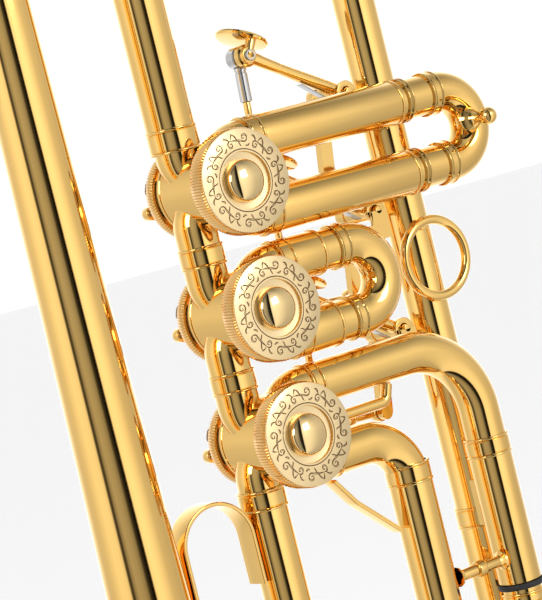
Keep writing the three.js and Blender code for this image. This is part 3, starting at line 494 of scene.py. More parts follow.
def knuckle(upper, lower):
    def build(bm):
        high, low = VALVE_Z[upper], VALVE_Z[lower]
        reach = -ROW_TUBE_X
        corners = [at(-3, 0, high - 3), at(ROW_TUBE_X, 0, high - reach), at(ROW_TUBE_X, 0, low + reach),
                   at(-3, 0, low + 3)]
        sweep(bm, route(corners, KNUCKLE_BEND), TUBE, BORE)
        hug(bm, high)
        hug(bm, low)
        ferrule(bm, at(ROW_TUBE_X, 0, (high + low) / 2), Z_AXIS, TUBE, 6)
    return build


def valve_to_bell(bm):
    z = VALVE_Z[1]
    joint = z + 14
    sweep(bm, port_route(z, 1, ROW_TUBE_X, [at(ROW_TUBE_X, 0, joint + 1)]), TUBE, BORE)
    hug(bm, z)
    pipe(bm, at(ROW_TUBE_X, 0, joint), at(ROW_TUBE_X, 0, BELL_LENGTH - 0.3), BELL_TUBE, TUBE - 0.2)
    ferrule(bm, at(ROW_TUBE_X, 0, joint + 1.5), Z_AXIS, BELL_TUBE - 0.1, 7)


def inlet(bm):
    z = VALVE_Z[3]
    joint = z - 16
    sweep(bm, port_route(z, -1, ROW_TUBE_X, [at(ROW_TUBE_X, 0, joint)]), TUBE, BORE)
    hug(bm, z)
    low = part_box("inlet_tube")[0].z / MM
    pipe(bm, at(ROW_TUBE_X, 0, low), at(ROW_TUBE_X, 0, joint + 1), SLEEVE, SLEEVE_BORE)
    ferrule(bm, at(ROW_TUBE_X, 0, joint), Z_AXIS, SLEEVE, 6)


def leadpipe(bm):
    low, high = (v.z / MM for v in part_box("leadpipe"))
    joint = 227
    outline = [(SLEEVE_BORE, low), (SLEEVE, low), (SLEEVE, joint), (TUBE + 0.2, joint + 1),
               (TUBE + 0.2, 400),
               (4.9, high), (4.3, high), (BORE, 400), (SLEEVE_BORE, joint), (SLEEVE_BORE, low)]
    lathe(bm, softened(outline, 0.15), at(LEADPIPE_X, LEADPIPE_Y, 0), Z_AXIS, FINE)
    ferrule(bm, at(LEADPIPE_X, LEADPIPE_Y, joint), Z_AXIS, SLEEVE, 6.5)


def receiver(bm):
    low, high = (v.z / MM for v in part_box("mouthpiece_receiver"))
    outline = [(5.9, low), (6.6, low), (7.2, low + 4), (6.9, high - 7), (6.9, high - 5), (8.2, high - 4),
               (8.2, high), (5.2, high), (4.85, low + 14.3), (5.9, low + 14.3), (5.9, low)]
    lathe(bm, softened(outline, 0.35), at(LEADPIPE_X, LEADPIPE_Y, 0), Z_AXIS, FINE)
    ferrule(bm, at(LEADPIPE_X, LEADPIPE_Y, low + 9), Z_AXIS, 7.1, 4, rise=0.4)


def mouthpiece(bm):
    low, high = (v.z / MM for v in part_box("mouthpiece"))
    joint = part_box("mouthpiece_receiver")[1].z / MM
    outside = [(3.6, low), (4.55, low), (4.9, joint), (5.0, joint + 12), (5.3, joint + 20),
               (6.4, joint + 27), (9.0, joint + 34), (11.6, joint + 40), (12.5, joint + 46),
               (12.6, high - 5), (13.6, high - 3.4),
               (13.6, high - 1.4), (13.0, high - 0.4), (11.6, high), (10, high - 0.15), (9, high - 0.8)]
    cup = [(8.3, high - 2.2), (7.9, high - 6), (6.6, high - 11), (4.2, high - 15), (1.9, high - 18),
           (1.9, high - 26), (3.6, low)]
    lathe(bm, softened(outside + cup, 2.0, 5), at(LEADPIPE_X, LEADPIPE_Y, 0), Z_AXIS, FINE)


# ----- slides -----
def slide_sleeve(number, side, end):
    def build(bm):
        z = VALVE_Z[number]
        leg = z + side * LEG_OFFSET
        sweep(bm, port_route(z, side, LEG_OFFSET, [at(17, 0, leg)]), TUBE, BORE)
        hug(bm, z)
        pipe(bm, at(16, 0, leg), at(end, 0, leg), SLEEVE, SLEEVE_BORE)
        ferrule(bm, at(BAND_START, 0, leg), X_AXIS, SLEEVE - 0.2, 5)
        lip = [(SLEEVE_BORE, -0.9), (SLEEVE + 0.25, -0.9), (SLEEVE + 0.25, 0), (SLEEVE_BORE, 0)]
        lathe(bm, softened(lip + lip[:1], 0.2), at(end, 0, leg), X_AXIS)
    return build


def slide_three_sleeve(side):
    def build(bm):
        z = VALVE_Z[3]
        leg = z + side * LEG_OFFSET
        node = "slide_3_outer_sleeve" if side > 0 else "slide_3_inner_sleeve"
        x = SLIDE_3_OUTER_X if side > 0 else SLIDE_3_INNER_X
        bend = 22.5 if side > 0 else 14
        joint = z - 23
        ends = [at(x, 0, leg), at(x, 0, joint)]
        sweep(bm, port_route(z, side, LEG_OFFSET, ends, [KNUCKLE_BEND, bend]), TUBE, BORE)
        hug(bm, z)
        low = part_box(node)[0].z / MM
        pipe(bm, at(x, 0, low), at(x, 0, joint + 1), SLEEVE, SLEEVE_BORE)
        ferrule(bm, at(x, 0, joint), Z_AXIS, SLEEVE - 0.1, 6)
        ferrule(bm, at(BAND_START, 0, leg), X_AXIS, TUBE, 4.4, rise=0.5)
    return build


def slide_bow(bm, start, bend_at, spread, direction, bands):
    half = spread / 2
    width = half.length
    apex = bend_at + direction * width
    corners = [start + half, apex + half, apex - half, start - half]
    sweep(bm, route(corners, width * 0.9999), SLIDE, BORE)
    for side in (-1, 1):
        for offset, length in bands:
            ferrule(bm, bend_at + half * side - direction * offset, direction, SLIDE + 0.12, length, 0.6)


def knob(bm, base, direction):
    outline = [(0, 0), (4.2, 0), (3.9, 0.8), (3.0, 2.0), (2.1, 3.4), (1.6, 5.0), (1.5, 5.6), (1.9, 6.2)]
    ball = [(2.65 * math.cos(math.radians(a)), 8.1 + 2.65 * math.sin(math.radians(a)))
            for a in range(-45, 91, 15)]
    ball[-1] = (0, 10.7)
    lathe(bm, outline + ball, base, direction, ROUND)


def slide_one(bm):
    z = VALVE_Z[1]
    slide_bow(bm, at(31.3, 0, z), at(87.8, 0, z), at(0, 0, 2 * LEG_OFFSET), X_AXIS, [(3.0, 4), (13.5, 2.2)])
    knob(bm, at(95.0, -4.4, z), at(0.12, -1, 0))


def slide_two(bm):
    z = VALVE_Z[2]
    slide_bow(bm, at(20, 0, z), at(41.7, 0, z), at(0, 0, 2 * LEG_OFFSET), X_AXIS, [(3.4, 4)])


def slide_three(bm):
    z = VALVE_Z[3]
    centre = (SLIDE_3_INNER_X + SLIDE_3_OUTER_X) / 2
    spread = at(SLIDE_3_OUTER_X - SLIDE_3_INNER_X, 0, 0)
    slide_bow(bm, at(centre, 0, z - 31), at(centre, 0, z - 71), spread, -Z_AXIS, [(0.8, 4)])


MAIN_HALF = Vector((LEADPIPE_X - ROW_TUBE_X, LEADPIPE_Y, 0)) / 2
MAIN_MIDDLE = Vector(((ROW_TUBE_X + LEADPIPE_X) / 2, LEADPIPE_Y / 2, 0))
MAIN_BEND_Z = 114.5
ACROSS = MAIN_HALF.normalized()
SIDEWAYS = Vector((-ACROSS.y, ACROSS.x, 0))
WATER_HOLE = MAIN_MIDDLE + at(0, 0, MAIN_BEND_Z - MAIN_HALF.length)
WATER_HINGE = WATER_HOLE + ACROSS * 11 - at(0, 0, 6.4)


def main_slide(bm):
    slide_bow(bm, MAIN_MIDDLE + at(0, 0, 198), MAIN_MIDDLE + at(0, 0, MAIN_BEND_Z), MAIN_HALF * 2, -Z_AXIS,
              [(0, 6), (40, 2.2)])
    brace_z = MAIN_BEND_Z + 14
    inside = MAIN_HALF.length - SLIDE + 0.3
    centre = MAIN_MIDDLE + at(0, 0, brace_z)
    bar(bm, centre - ACROSS * inside, centre + ACROSS * inside, 1.9, ROUND)
    for offset in (-9, 0, 9):
        lathe(bm, softened([(1, -1.2), (3, -1.2), (3, 1.2), (1, 1.2), (1, -1.2)], 0.8, 5),
              centre + ACROSS * offset, ACROSS)
    pipe(bm, WATER_HOLE - at(0, 0, 5.2), WATER_HOLE - at(0, 0, 8.2), 2.6, 1.4)
    for side in (-1, 1):
        low = WATER_HINGE + SIDEWAYS * side * 2.6
        bar(bm, low - at(0, 0, 1.6), low + at(0, 0, 4.2), 0.9)


def water_key(bm):
    seat = WATER_HOLE - at(0, 0, 8.5)
    bar(bm, seat, seat - at(0, 0, 2.2), 3.1, ROUND)
    touch = WATER_HINGE + ACROSS * 15 - at(0, 0, 2)
    rod = [seat - at(0, 0, 1.6), seat - at(0, 0, 2.2) + ACROSS * 5, WATER_HINGE, touch]
    sweep(bm, rod, 1.2, sides=SMALL)
    bar(bm, WATER_HINGE - SIDEWAYS * 1.6, WATER_HINGE + SIDEWAYS * 1.6, 1.8)
    thumb = [(0, -0.6), (3.4, -0.6), (4, -0.2), (4, 0.3), (3.4, 0.7), (1.8, 0.5), (0, 0.45)]
    lathe(bm, thumb, touch, Z_AXIS, ROUND)


# ----- valves -----
def casing(number):
    def build(bm):
        back = CASING_BACK
        outline = [(2.3, back - 3.8), (10.1, back - 3.8), (10.1, CASING_FRONT), (12.3, CASING_FRONT),
                   (12.3, back - 6.4), (12.7, back - 6.0), (12.7, back - 5.2), (12.3, back - 4.8),
                   (12.3, back - 3.3), (2.3, back - 3.3), (2.3, back - 3.8)]
        lathe(bm, softened(outline, 0.2), at(0, 0, VALVE_Z[number]), Y_AXIS)
    return build


def knurled(ribs, low, high, depth):
    """Cuts ribs across a rim between two heights."""
    def ripple(radius, height, angle):
        if radius < 11 or not low < height < high:
            return radius
        return radius - depth * (0.5 + 0.5 * math.cos(ribs * angle))
    return ripple


def rear_ring(number):
    def build(bm):
        back = CASING_BACK
        outline = [(2.3, back - 3.2), (12.9, back - 3.2), (13.45, back - 2.7), (13.45, back - 0.5),
                   (12.9, back), (9.6, back), (8.8, back - 0.4), (4.4, back - 0.4), (4.0, back),
                   (2.3, back), (2.3, back - 3.2)]
        lathe(bm, outline, at(0, 0, VALVE_Z[number]), Y_AXIS, 400, knurled(100, back - 3, back - 0.2, 0.35))
    return build


def cap_face(number):
    def build(bm):
        face = CAP_FACE
        bowl = [(8.2 - 2.0 * (1 - math.cos(math.radians(a))), face + 2.6 * math.sin(math.radians(a)))
                for a in range(0, 91, 9)]
        outline = [(0, face + 2.6)] + list(reversed(bowl)) + [
            (8.6, face), (8.68, face + 0.14), (8.84, face + 0.14), (8.92, face), (14.3, face),
            (14.55, face + 0.12), (14.6, face + 0.4), (14.2, face + 1.0), (8, face + 1.0),
            (0, face + 3.2)]
        lathe(bm, outline, at(0, 0, VALVE_Z[number]), Y_AXIS, 160)
    return build


def cap_rim(number):
    def build(bm):
        low, high = CAP_FACE + 0.35, CAP_FACE + 6.4
        outline = [(12.6, low + 0.4), (14.5, low + 0.1), (14.98, low + 0.6), (14.98, high - 0.7),
                   (14.6, high - 0.2), (14.1, high), (12.6, high), (12.6, low + 0.4)]
        lathe(bm, outline, at(0, 0, VALVE_Z[number]), Y_AXIS, 440, knurled(110, low + 0.5, high - 0.4, 0.38))
    return build


def cap_button(number):
    def build(bm):
        top = CAP_FACE - 2.5
        dome = [(6.0 * math.sin(math.radians(a)), top + 3.0 * (1 - math.cos(math.radians(a))))
                for a in range(0, 91, 6)]
        outline = dome + [(6.0, CAP_FACE + 2.7), (0, CAP_FACE + 2.7)]
        outline[0] = (0, top)
        lathe(bm, outline, at(0, 0, VALVE_Z[number]), Y_AXIS, 96)
    return build


# A ring of scrolls: each motif is a vine with a curl at each end and a short leaf.
SCROLLS = 8


def spiral(centre, size, first, turns, steps=20):
    """A curl that winds in towards its eye; the points are (distance round the ring, radius)."""
    made = []
    for k in range(steps + 1):
        t = k / steps
        reach = size * (1 - t) ** 0.8 + 0.12
        angle = first + turns * 2 * math.pi * t
        made.append((centre[0] + reach * math.cos(angle), centre[1] + reach * math.sin(angle)))
    return made


def arch(start, end, bulge, steps=12):
    made = []
    for k in range(steps + 1):
        t = k / steps
        lift = bulge * 4 * t * (1 - t)
        made.append((start[0] + (end[0] - start[0]) * t, start[1] + (end[1] - start[1]) * t + lift))
    return made


def motif(share):
    """One share of the ring: an S of two curls, a leaf between them and a small curl outside."""
    left = spiral((-share * 0.27, 12.0), 1.1, math.pi * 1.5, -1.15)
    right = spiral((share * 0.27, 10.6), 1.0, math.pi * 0.5, -1.15)
    return [
        left,
        right,
        arch((-share * 0.27, 10.85), (share * 0.27, 11.65), 0.0),
        arch((-share * 0.02, 11.2), (share * 0.12, 13.2), 0.3),
        arch((share * 0.12, 13.2), (share * 0.2, 11.9), 0.35),
        arch((-share * 0.06, 11.1), (-share * 0.16, 9.5), -0.3),
        arch((share * 0.3, 12.0), (share * 0.46, 12.9), 0.4),
        arch((-share * 0.5, 10.4), (-share * 0.34, 9.9), -0.35),
    ]


def cap_scrolls(number):
    def build(bm):
        turn = 2 * math.pi / SCROLLS
        z = VALVE_Z[number]
        for index in range(SCROLLS):
            for path in motif(turn * 11.3):
                last = len(path) - 1
                for inner_side in (-1, 1):
                    points = []
                    for k, (run, radius) in enumerate(path):
                        angle = turn * index + run / 11.3
                        reach = radius + inner_side * 0.2 * math.sin(math.pi * min(1, 0.15 + k / last))
                        points.append(at(reach * math.cos(angle), CAP_FACE, z + reach * math.sin(angle)))
                    sweep(bm, points, 0.11, sides=6)
        circle = [at(8.76 * math.cos(a), CAP_FACE + 0.1, z + 8.76 * math.sin(a))
                  for a in [2 * math.pi * k / 96 for k in range(97)]]
        sweep(bm, circle, 0.09, sides=6)
    return build


def stop_arm(number):
    def build(bm):
        z = VALVE_Z[number]
        start = CASING_BACK + 1.6
        end = EYE_Y + 1
        bar(bm, at(0, start, z), at(0, end + 0.8, z), 4.3, ROUND)
        tab = (9 - 1.6) * math.sqrt(0.5)
        plate(bm, strap_outline((0, z), (tab, z + tab), 1.6), start, end - 0.4)
        plate(bm, strap_outline((0, z), (-CRANK, z - CRANK), 2.2), start, end - 0.2)
        bar(bm, at(-CRANK, start, z - CRANK), at(-CRANK, LINK_Y - 1.7, z - CRANK), 1.35)
    return build


def stop_screw(number):
    def build(bm):
        z = VALVE_Z[number]
        dome = [(0, 0), (1.2, 0), (1.2, 4.6), (3.6, 4.6), (4, 5.0), (3.9, 5.8),
                (3.3, 6.8), (2.3, 7.6), (1.1, 8.1), (0, 8.2)]
        lathe(bm, dome, at(0, EYE_Y + 1.3, z), Y_AXIS, ROUND)
    return build


def bumper(number):
    def build(bm):
        z = VALVE_Z[number]
        base = CASING_BACK + 0.3
        lug = math.asin(3.5 / 9)
        low, high, half = math.pi / 4 - lug, 3 * math.pi / 4 + lug, 0.17

        def arc(radius, a, b, steps):
            turns = [a + (b - a) * k / steps for k in range(steps + 1)]
            return [(radius * math.cos(t), z + radius * math.sin(t)) for t in turns]

        def sector(outer, a, b, steps):
            return arc(outer, a, b, steps) + arc(7, b, a, steps)

        plate(bm, sector(11.5, low - half, high + half, 28), base, base + 1, 0.15)
        for angle in (low, high):
            plate(bm, sector(11, angle - half, angle + half, 6), base + 0.5, base + 3.6, 0.25)
    return build


# ----- lever work -----
def lower_pin():
    half = LEVER_TRAVEL / 2
    arm = 5 * math.sqrt(2) / (2 * math.sin(half))
    return HINGE[0] - arm * math.sin(half), HINGE[1] - arm * math.cos(half)


CRANK_BACK = LINK_Y - 1.7
ARM_WAY = Vector((TIP[0] - HINGE[0], 0, TIP[1] - HINGE[1])).normalized()
TOUCH_WAY = Vector((ARM_WAY.z, 0, -ARM_WAY.x))
ROD_WAY = Vector((TIP[0] - FOOT[0], 0, TIP[1] - FOOT[1])).normalized()
BRACKET_BACK = SLEEVE + 0.3 + 1.3


def lever(number):
    def build(bm):
        z = VALVE_Z[number]
        hinge = at(HINGE[0], LEVER_Y, z + HINGE[1])
        tip = at(TIP[0], LEVER_Y, z + TIP[1])
        span = (tip - hinge).length
        taper = [(0, 0), (1.95, 0), (1.95, span * 0.2), (1.6, span * 0.65), (1.9, span), (0, span)]
        lathe(bm, softened(taper, 0.4), hinge, tip - hinge, ROUND)
        boss = [(0, 0), (2.4, 0), (2.6, 0.4), (2.6, 1.0), (3.4, 1.4), (3.4, 3.2), (2.9, 4.0), (0, 4.0)]
        lathe(bm, softened(boss, 0.2), at(tip.x, LEVER_Y - 2, tip.z), Y_AXIS, ROUND)
        bar(bm, tip, at(tip.x, EYE_Y + 1.6, tip.z), 1.3)
        outer = [(1.6, BRACKET_BACK + 0.3), (3.4, BRACKET_BACK + 0.3), (3.4, BRACKET_BACK + 1.8),
                 (2.9, BRACKET_BACK + 2.2), (2.9, CRANK_BACK - 4.2), (3.4, CRANK_BACK - 3.8),
                 (3.4, CRANK_BACK), (1.6, CRANK_BACK), (1.6, BRACKET_BACK + 0.3)]
        lathe(bm, softened(outer, 0.2), at(hinge.x, 0, hinge.z), Y_AXIS, ROUND)
        pin = lower_pin()
        plate(bm, strap_outline((HINGE[0] - 0.1, z + HINGE[1] - 2.6), (pin[0], z + pin[1]), 2.1),
              CRANK_BACK - 2.8, CRANK_BACK)
        bar(bm, at(pin[0], CRANK_BACK - 1, z + pin[1]), at(pin[0], LINK_Y + 1.6, z + pin[1]), 1.0)
        foot = at(TIP[0], LEVER_Y - 1, z + TIP[1])
        bar(bm, foot, foot + TOUCH_WAY * 5.6, 1.5)
        disc = at(TIP[0], LEVER_Y + 4.2, z + TIP[1]) + TOUCH_WAY * 5.6
        dished = [(0, -0.7), (6.6, -0.7), (7.6, -0.4), (7.95, 0.1), (7.8, 0.6),
                  (7.2, 0.75), (5.5, 0.5), (0, 0.2)]
        lathe(bm, dished, disc, TOUCH_WAY, FINE)
    return build


def socket_screw(x, y, depth_way, radius, hex_radius, z):
    """A small cheese-head screw with a hexagonal recess, facing -Y."""
    def build(bm):
        outline = [(0, 0.9), (hex_radius, 0.9), (hex_radius, 0), (radius - 0.25, 0), (radius, 0.25),
                   (radius, depth_way), (0, depth_way)]
        lathe(bm, outline, at(x, y, z), Y_AXIS, SMALL * 2)
    return build


def bracket(number):
    def build(bm):
        z = VALVE_Z[number]
        y = SLEEVE + 0.3
        beam = z + LEG_OFFSET
        left, right = FOOT[0] - 7, HINGE[0] + 3
        outline = [(left + 2, beam - 2.2), (right, beam - 2.2), (right, z + HINGE[1]),
                   (right - 6, z + HINGE[1]), (right - 6, beam + 2.2), (left + 2, beam + 2.2), (left, beam)]
        plate(bm, outline, y, BRACKET_BACK, 0.25)
        bar(bm, at(HINGE[0], y, z + HINGE[1]), at(HINGE[0], CRANK_BACK + 1.2, z + HINGE[1]), 1.3)
        bar(bm, at(FOOT[0], y, z + FOOT[1]), at(FOOT[0], EYE_Y + 1.2, z + FOOT[1]), 0.9)
    return build


def leaf_spring(number):
    """A bent steel strip that rests on the beam and bears on the lever's arm near its hinge."""
    def build(bm):
        z = VALVE_Z[number]
        hinge = at(HINGE[0], LEVER_Y, z + HINGE[1])
        way = ARM_WAY
        side = at(way.z, 0, -way.x)
        bearing = hinge + way * 15 - side * 2.4
        path = [hinge + way * 3.6 - side * 3.6, hinge + way * 8 - side * 3.3, bearing]
        ribbon(bm, route(path, 20), Y_AXIS, 2.6, 0.35)
    return build


def rest_of_reach():
    arm = math.hypot(TIP[0] - HINGE[0], TIP[1] - HINGE[1])
    angle = math.atan2(TIP[1] - HINGE[1], TIP[0] - HINGE[0]) + LEVER_TRAVEL
    x = HINGE[0] + arm * math.cos(angle) - FOOT[0]
    return math.hypot(x, HINGE[1] + arm * math.sin(angle) - FOOT[1])


SLEEVE_END = rest_of_reach() - 2.4
ROD_END = SLEEVE_END - 0.3


def plunger_sleeve(number):
    def build(bm):
        tip = at(TIP[0], EYE_Y, VALVE_Z[number] + TIP[1])
        outline = [(1.6, -1.95), (2.9, -1.95), (3.25, -1.6), (3.25, 1.6),
                   (2.9, 1.95), (1.6, 1.95), (1.6, -1.95)]
        lathe(bm, outline, tip, Y_AXIS, ROUND)
        start = tip - ROD_WAY * 3
        end = tip - ROD_WAY * SLEEVE_END
        length = (end - start).length
        tube = [(0, 0), (1.95, 0), (1.95, 0.9), (1.7, 1.1), (1.7, 1.4), (1.9, 1.6), (1.9, length - 0.2),
                (1.7, length), (1.45, length), (1.45, 0.3), (0, 0.3)]
        lathe(bm, tube, start, end - start, ROUND)
    return build


def plunger_rod(number):
    def build(bm):
        foot = at(FOOT[0], EYE_Y, VALVE_Z[number] + FOOT[1])
        eye = [(1.2, -1.2), (2.1, -1.2), (2.1, 1.2), (1.2, 1.2), (1.2, -1.2)]
        lathe(bm, softened(eye, 0.3), foot, Y_AXIS, ROUND)
        reach = math.hypot(TIP[0] - FOOT[0], TIP[1] - FOOT[1])
        bar(bm, foot + ROD_WAY * 1.9, foot + ROD_WAY * (reach - ROD_END), 1.13)
    return build


def link(number):
    def build(bm):
        z = VALVE_Z[number]
        pin = lower_pin()
        right = at(pin[0], LINK_Y, z + pin[1])
        left = at(-CRANK, LINK_Y, z - CRANK)
        way = (right - left).normalized()
        eye = [(1.3, -1.4), (2.6, -1.4), (2.6, 1.4), (1.3, 1.4), (1.3, -1.4)]
        lathe(bm, softened(eye, 0.35), right, Y_AXIS, ROUND)
        lathe(bm, softened([(0, -1.4), (2.1, -1.4), (2.1, 1.4), (0, 1.4)], 0.35), left, Y_AXIS, ROUND)
        bar(bm, left + way * 1.6, right - way * 2.0, 1.15)
        centre = left.lerp(right, 0.8)
        bulb = [(0, -3.4), (1.2, -3.3), (1.7, -2.6), (2.1, -1.6), (2.3, 0), (2.1, 1.6),
                (1.7, 2.6), (1.2, 3.3), (0, 3.4)]
        lathe(bm, bulb, centre, way, SMALL)
    return build


# ----- braces and rings -----
def finger_ring(bm):
    low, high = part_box("finger_ring")
    x = middle("finger_ring").x / MM
    wire = 1.5
    radius = (high.z - low.z) / MM / 2 - wire
    centre = at(x - ROW_X, low.y / MM + wire, (low.z + high.z) / MM / 2)
    turn = [centre + at(radius * math.cos(a), 0, radius * math.sin(a))
            for a in [2 * math.pi * k / 96 for k in range(97)]]
    sweep(bm, turn, wire, sides=SMALL)
    foot = radius - 0.6
    bar(bm, at(LEADPIPE_X, centre.y, centre.z + foot), at(LEADPIPE_X, high.y / MM, centre.z + foot), 2)


def bell_strap(bm):
    low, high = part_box("bell_strap")
    left, right = low.x / MM - ROW_X + 0.6, high.x / MM - ROW_X - 0.6
    half = (right - left) / 2
    top = high.z / MM - 0.6
    foot = VALVE_Z[3] - 38.5
    corners = [at(left, 0, low.z / MM), at(left, 0, top), at(right, 0, top), at(right, 0, foot)]
    ribbon(bm, route(corners, half - 0.05), Y_AXIS, 7.8, 1.2)


def slide_brace(bm):
    low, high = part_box("slide_brace")
    y = -SLEEVE * 0.35
    z = (low.z + high.z) / MM / 2
    start, end = at(low.x / MM - ROW_X, y, z), at(high.x / MM - ROW_X, y, z)
    bar(bm, start, end, 1.7)
    bead = [(1, -1.5), (2.5, -1.5), (2.5, 1.5), (1, 1.5), (1, -1.5)]
    lathe(bm, softened(bead, 0.8, 5), (start + end) / 2, X_AXIS)
    flange = [(0, 0), (3.0, 0), (2.9, 0.5), (1.9, 1.1), (1.7, 1.8), (0, 1.8)]
    for point, way in ((start, 1), (end, -1)):
        lathe(bm, flange, point, X_AXIS * way, 4 * SMALL)


def side_strap(bm):
    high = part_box("side_strap")[1]
    z = VALVE_Z[3] - LEG_OFFSET - TUBE - 1.1
    end = high.x / MM - ROW_X
    ribbon(bm, route([at(17, 0, z), at(23, 0, z - 8), at(end - 0.9, 0, z - 20)], 8), Y_AXIS, 4.9, 1.3)


def leg_brace(bm):
    z = VALVE_Z[3]
    top = z + LEG_OFFSET - TUBE - 0.3
    run = z - 0.8
    path = route([at(12.8, 0, run), at(43, 0, run), at(44.8, 0, top)], 2.6)
    sweep(bm, path, 1.65, sides=SMALL)
    lathe(bm, [(0, 0), (2.9, 0), (2.6, 0.8), (1.7, 1.6), (0, 1.6)], at(12.7, 0, run), X_AXIS, ROUND)


def bumper_ring(bm):
    low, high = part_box("slide_bumper_ring")
    half = (high.z - low.z) / MM / 2
    x = SLIDE_3_OUTER_X
    outline = [(6.72 + 0.4 * math.cos(a), half + half * math.sin(a))
               for a in [2 * math.pi * k / 16 for k in range(16)]]
    outline.append(outline[0])
    lathe(bm, outline, at(x, 0, low.z / MM), Z_AXIS)


skin("bell", GOLD, bell)
skin("bell_bow", GOLD, bell_bow)
skin("valve_to_bell_tube", GOLD, valve_to_bell)
skin("knuckle_1_2", GOLD, knuckle(1, 2))
skin("knuckle_2_3", GOLD, knuckle(2, 3))
skin("inlet_tube", GOLD, inlet)
skin("leadpipe", GOLD, leadpipe)
skin("mouthpiece_receiver", GOLD, receiver)
skin("mouthpiece", GOLD, mouthpiece)
skin("main_slide", GOLD, main_slide)
skin("water_key", GOLD, water_key)
for number, sleeve_end in ((1, 71.3), (2, 31)):
    for word, side in (("upper", 1), ("lower", -1)):
        skin(f"slide_{number}_{word}_sleeve", GOLD, slide_sleeve(number, side, sleeve_end))
skin("slide_3_outer_sleeve", GOLD, slide_three_sleeve(1))
skin("slide_3_inner_sleeve", GOLD, slide_three_sleeve(-1))
skin("slide_1", GOLD, slide_one)
skin("slide_2", GOLD, slide_two)
skin("slide_3", GOLD, slide_three)
skin("finger_ring", GOLD, finger_ring)
skin("bell_strap", GOLD, bell_strap)
skin("slide_brace", GOLD, slide_brace)
skin("side_strap", GOLD, side_strap)
skin("leg_brace", GOLD, leg_brace)
skin("slide_bumper_ring", RUBBER, bumper_ring)
for number in VALVE_Z:
    skin(f"valve_casing_{number}", GOLD, casing(number))
    detail(f"valve_casing_{number}", "rear_ring", KNURL, rear_ring(number))
    skin(f"valve_cap_{number}", SATIN, cap_face(number), "face")
    detail(f"valve_cap_{number}", "rim", KNURL, cap_rim(number))
    detail(f"valve_cap_{number}", "button", BUTTON, cap_button(number))
    detail(f"valve_cap_{number}", "scrolls", LINES, cap_scrolls(number))
    skin(f"stop_arm_{number}", NICKEL, stop_arm(number))
    detail(f"stop_arm_{number}", "screw", GOLD, stop_screw(number))
    skin(f"stop_bumper_{number}", CORK, bumper(number))
    skin(f"lever_bracket_{number}", GOLD, bracket(number))
    skin(f"lever_{number}", GOLD, lever(number))
    detail(f"lever_{number}", "leaf_spring", STEEL, leaf_spring(number))
    detail(f"lever_{number}", "tip_screw", NICKEL,
           socket_screw(TIP[0], LEVER_Y - 2.6, 0.8, 1.8, 1.1, VALVE_Z[number] + TIP[1]))
    skin(f"plunger_sleeve_{number}", NICKEL, plunger_sleeve(number))
    skin(f"plunger_rod_{number}", GOLD, plunger_rod(number))
    skin(f"link_{number}", GOLD, link(number))

# Pieces whose CAD shape is already right keep it, with a better finish.
plain_pieces = [("leadpipe_saddle", GOLD)]
for number in VALVE_Z:
    plain_pieces += [(f"rotor_{number}", STEEL), (f"bearing_plate_{number}", GOLD)]
for node, material in plain_pieces:
    shown = frame["nodes"][node]
    shown.data.materials.clear()
    shown.data.materials.append(material)

# ---------- stage, light and camera ----------
low, high = CAD_BOX


def stage_material(name, color, strength=0.0):
    material = bpy.data.materials.new(name)
    material.use_nodes = True
    shader = material.node_tree.nodes["Principled BSDF"]
    shader.inputs["Base Color"].default_value = (*color, 1)
    shader.inputs["Roughness"].default_value = 0.7
    if strength:
        shader.inputs["Emission Color"].default_value = (*color, 1)
        shader.inputs["Emission Strength"].default_value = strength
    return material


def flat(name, centre, width, height, facing, material):
    mesh = bpy.data.meshes.new(name)
    w, h = width / 2, height / 2
    mesh.from_pydata([(-w, -h, 0), (w, -h, 0), (w, h, 0), (-w, h, 0)], [], [(0, 1, 2, 3)])
    mesh.materials.append(material)
    made = bpy.data.objects.new(name, mesh)
    made.rotation_mode = "QUATERNION"
    made.rotation_quaternion = facing.to_track_quat("Z", "Y")
    made.location = centre
    bpy.context.scene.collection.objects.link(made)
    return made


floor = flat("floor", at(0, 0, low.z), 12, 12, Z_AXIS, stage_material("floor_paint", (0.9, 0.9, 0.9), 0.3))
floor.visible_glossy = False
target = at(0, 0, (low.z + high.z) / 2)


def softbox(name, azimuth, elevation, distance, size, watts):
    a, e = math.radians(azimuth), math.radians(elevation)
    way = at(math.sin(a) * math.cos(e), -math.cos(a) * math.cos(e), math.sin(e))
    light = bpy.data.lights.new(name, "AREA")
    light.size = size
    light.energy = watts
    lamp = bpy.data.objects.new(name, light)
    lamp.rotation_mode = "QUATERNION"
    lamp.rotation_quaternion = (-way).to_track_quat("-Z", "Y")
    lamp.location = target + way * distance
    bpy.context.scene.collection.objects.link(lamp)


softbox("key_light", -75, 25, 1.6, 0.7, 9)
softbox("fill_light", 15, 20, 1.8, 0.7, 6)

# The studio's walls, by compass angle round the instrument: (degrees, brightness).
# White panels with dark gaps between them give the tubes their long stripes.
WALLS = [(-180, 1.25), (-152, 0.75), (-132, 0.8), (-116, 0.95), (-101, 1.1), (-84, 1.05), (-76, 0.9),
         (-72, 0.08),
         (-66, 0.06), (-62, 0.3), (-52, 0.48), (-38, 0.42), (-28, 0.3), (-22, 0.05), (-12, 0.0), (-8, 0.02),
         (-5, 1.15), (8, 1.25), (20, 1.15), (33, 0.95), (48, 0.72), (82, 0.6), (108, 0.85),
         (124, 1.35), (170, 1.4)]
# The same by height, from straight down (-1) to straight up (1).
HEIGHTS = [(-1, 0.85), (-0.5, 0.92), (-0.15, 1.0), (0.1, 1.15), (0.35, 1.1), (0.6, 0.85),
           (0.85, 0.5), (1, 0.45)]


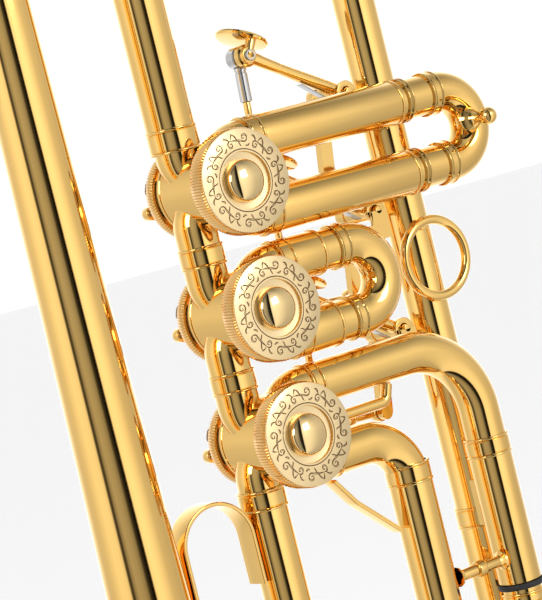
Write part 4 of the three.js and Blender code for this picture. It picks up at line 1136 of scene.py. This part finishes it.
def curve_through(nodes, stops):
    curve = nodes.new("ShaderNodeFloatCurve")
    line = curve.mapping.curves[0]
    line.points[0].location = (0, stops[0][1])
    line.points[1].location = (1, stops[-1][1])
    for place, value in stops[1:-1]:
        line.points.new(place, value)
    for point in line.points:
        point.handle_type = "VECTOR"
    curve.mapping.update()
    return curve


def studio():
    world = bpy.data.worlds.new("studio")
    world.use_nodes = True
    nodes, links = world.node_tree.nodes, world.node_tree.links
    place = nodes.new("ShaderNodeTexCoord")
    split = nodes.new("ShaderNodeSeparateXYZ")
    links.new(place.outputs["Generated"], split.inputs["Vector"])

    def spread(source, start, end):
        scale = nodes.new("ShaderNodeMapRange")
        scale.inputs["From Min"].default_value = start
        scale.inputs["From Max"].default_value = end
        links.new(source, scale.inputs["Value"])
        return scale.outputs["Result"]

    def combine(kind, first, second):
        step = nodes.new("ShaderNodeMath")
        step.operation = kind
        links.new(first, step.inputs[0])
        if isinstance(second, (int, float)):
            step.inputs[1].default_value = second
        else:
            links.new(second, step.inputs[1])
        return step.outputs["Value"]

    forward = combine("MULTIPLY", split.outputs["Y"], -1)
    angle = combine("ARCTAN2", split.outputs["X"], forward)
    most = 1.5
    walls = curve_through(nodes, [((d + 180) / 360, v / most) for d, v in WALLS + [(180, WALLS[0][1])]])
    heights = curve_through(nodes, [((h + 1) / 2, v / most) for h, v in HEIGHTS])
    links.new(spread(angle, -math.pi, math.pi), walls.inputs["Value"])
    links.new(spread(split.outputs["Z"], -1, 1), heights.inputs["Value"])
    product = combine("MULTIPLY", walls.outputs["Value"], heights.outputs["Value"])
    strength = combine("MULTIPLY", product, most * most)
    # Seen directly, the studio is plain white: only reflections and light come from the panels.
    seen = nodes.new("ShaderNodeLightPath").outputs["Is Camera Ray"]
    shown = nodes.new("ShaderNodeMix")
    shown.inputs["B"].default_value = 1.02
    links.new(seen, shown.inputs["Factor"])
    links.new(strength, shown.inputs["A"])
    nodes["Background"].inputs["Color"].default_value = (1, 1, 1, 1)
    links.new(shown.outputs["Result"], nodes["Background"].inputs["Strength"])
    bpy.context.scene.world = world


studio()
bpy.context.scene.view_settings.view_transform = "Standard"

# The camera looks along the levers' side of the valves, rolled as the instrument leans.
AIM = at(8.02, -5.9, 309.44)
AZIMUTH = math.radians(34.55)
ELEVATION = math.radians(3.79)
LEVEL = math.cos(ELEVATION)
BACK = at(-math.sin(AZIMUTH) * LEVEL, -math.cos(AZIMUTH) * LEVEL, math.sin(ELEVATION))
ROLL = math.radians(-13.92)
DISTANCE = 780
FIELD = math.radians(11.24)
camera_data = bpy.data.cameras.new("camera")
camera_data.sensor_fit = "HORIZONTAL"
camera_data.angle = FIELD
camera = bpy.data.objects.new("camera", camera_data)
camera.rotation_mode = "QUATERNION"
facing = (-BACK).to_track_quat("-Z", "Y")
camera.rotation_quaternion = facing @ Quaternion(Z_AXIS, ROLL)
camera.location = (AIM + at(ROW_X, 0, 0) + BACK * DISTANCE) * MM
camera_data.clip_start = 0.01
bpy.context.scene.collection.objects.link(camera)
bpy.context.scene.camera = camera
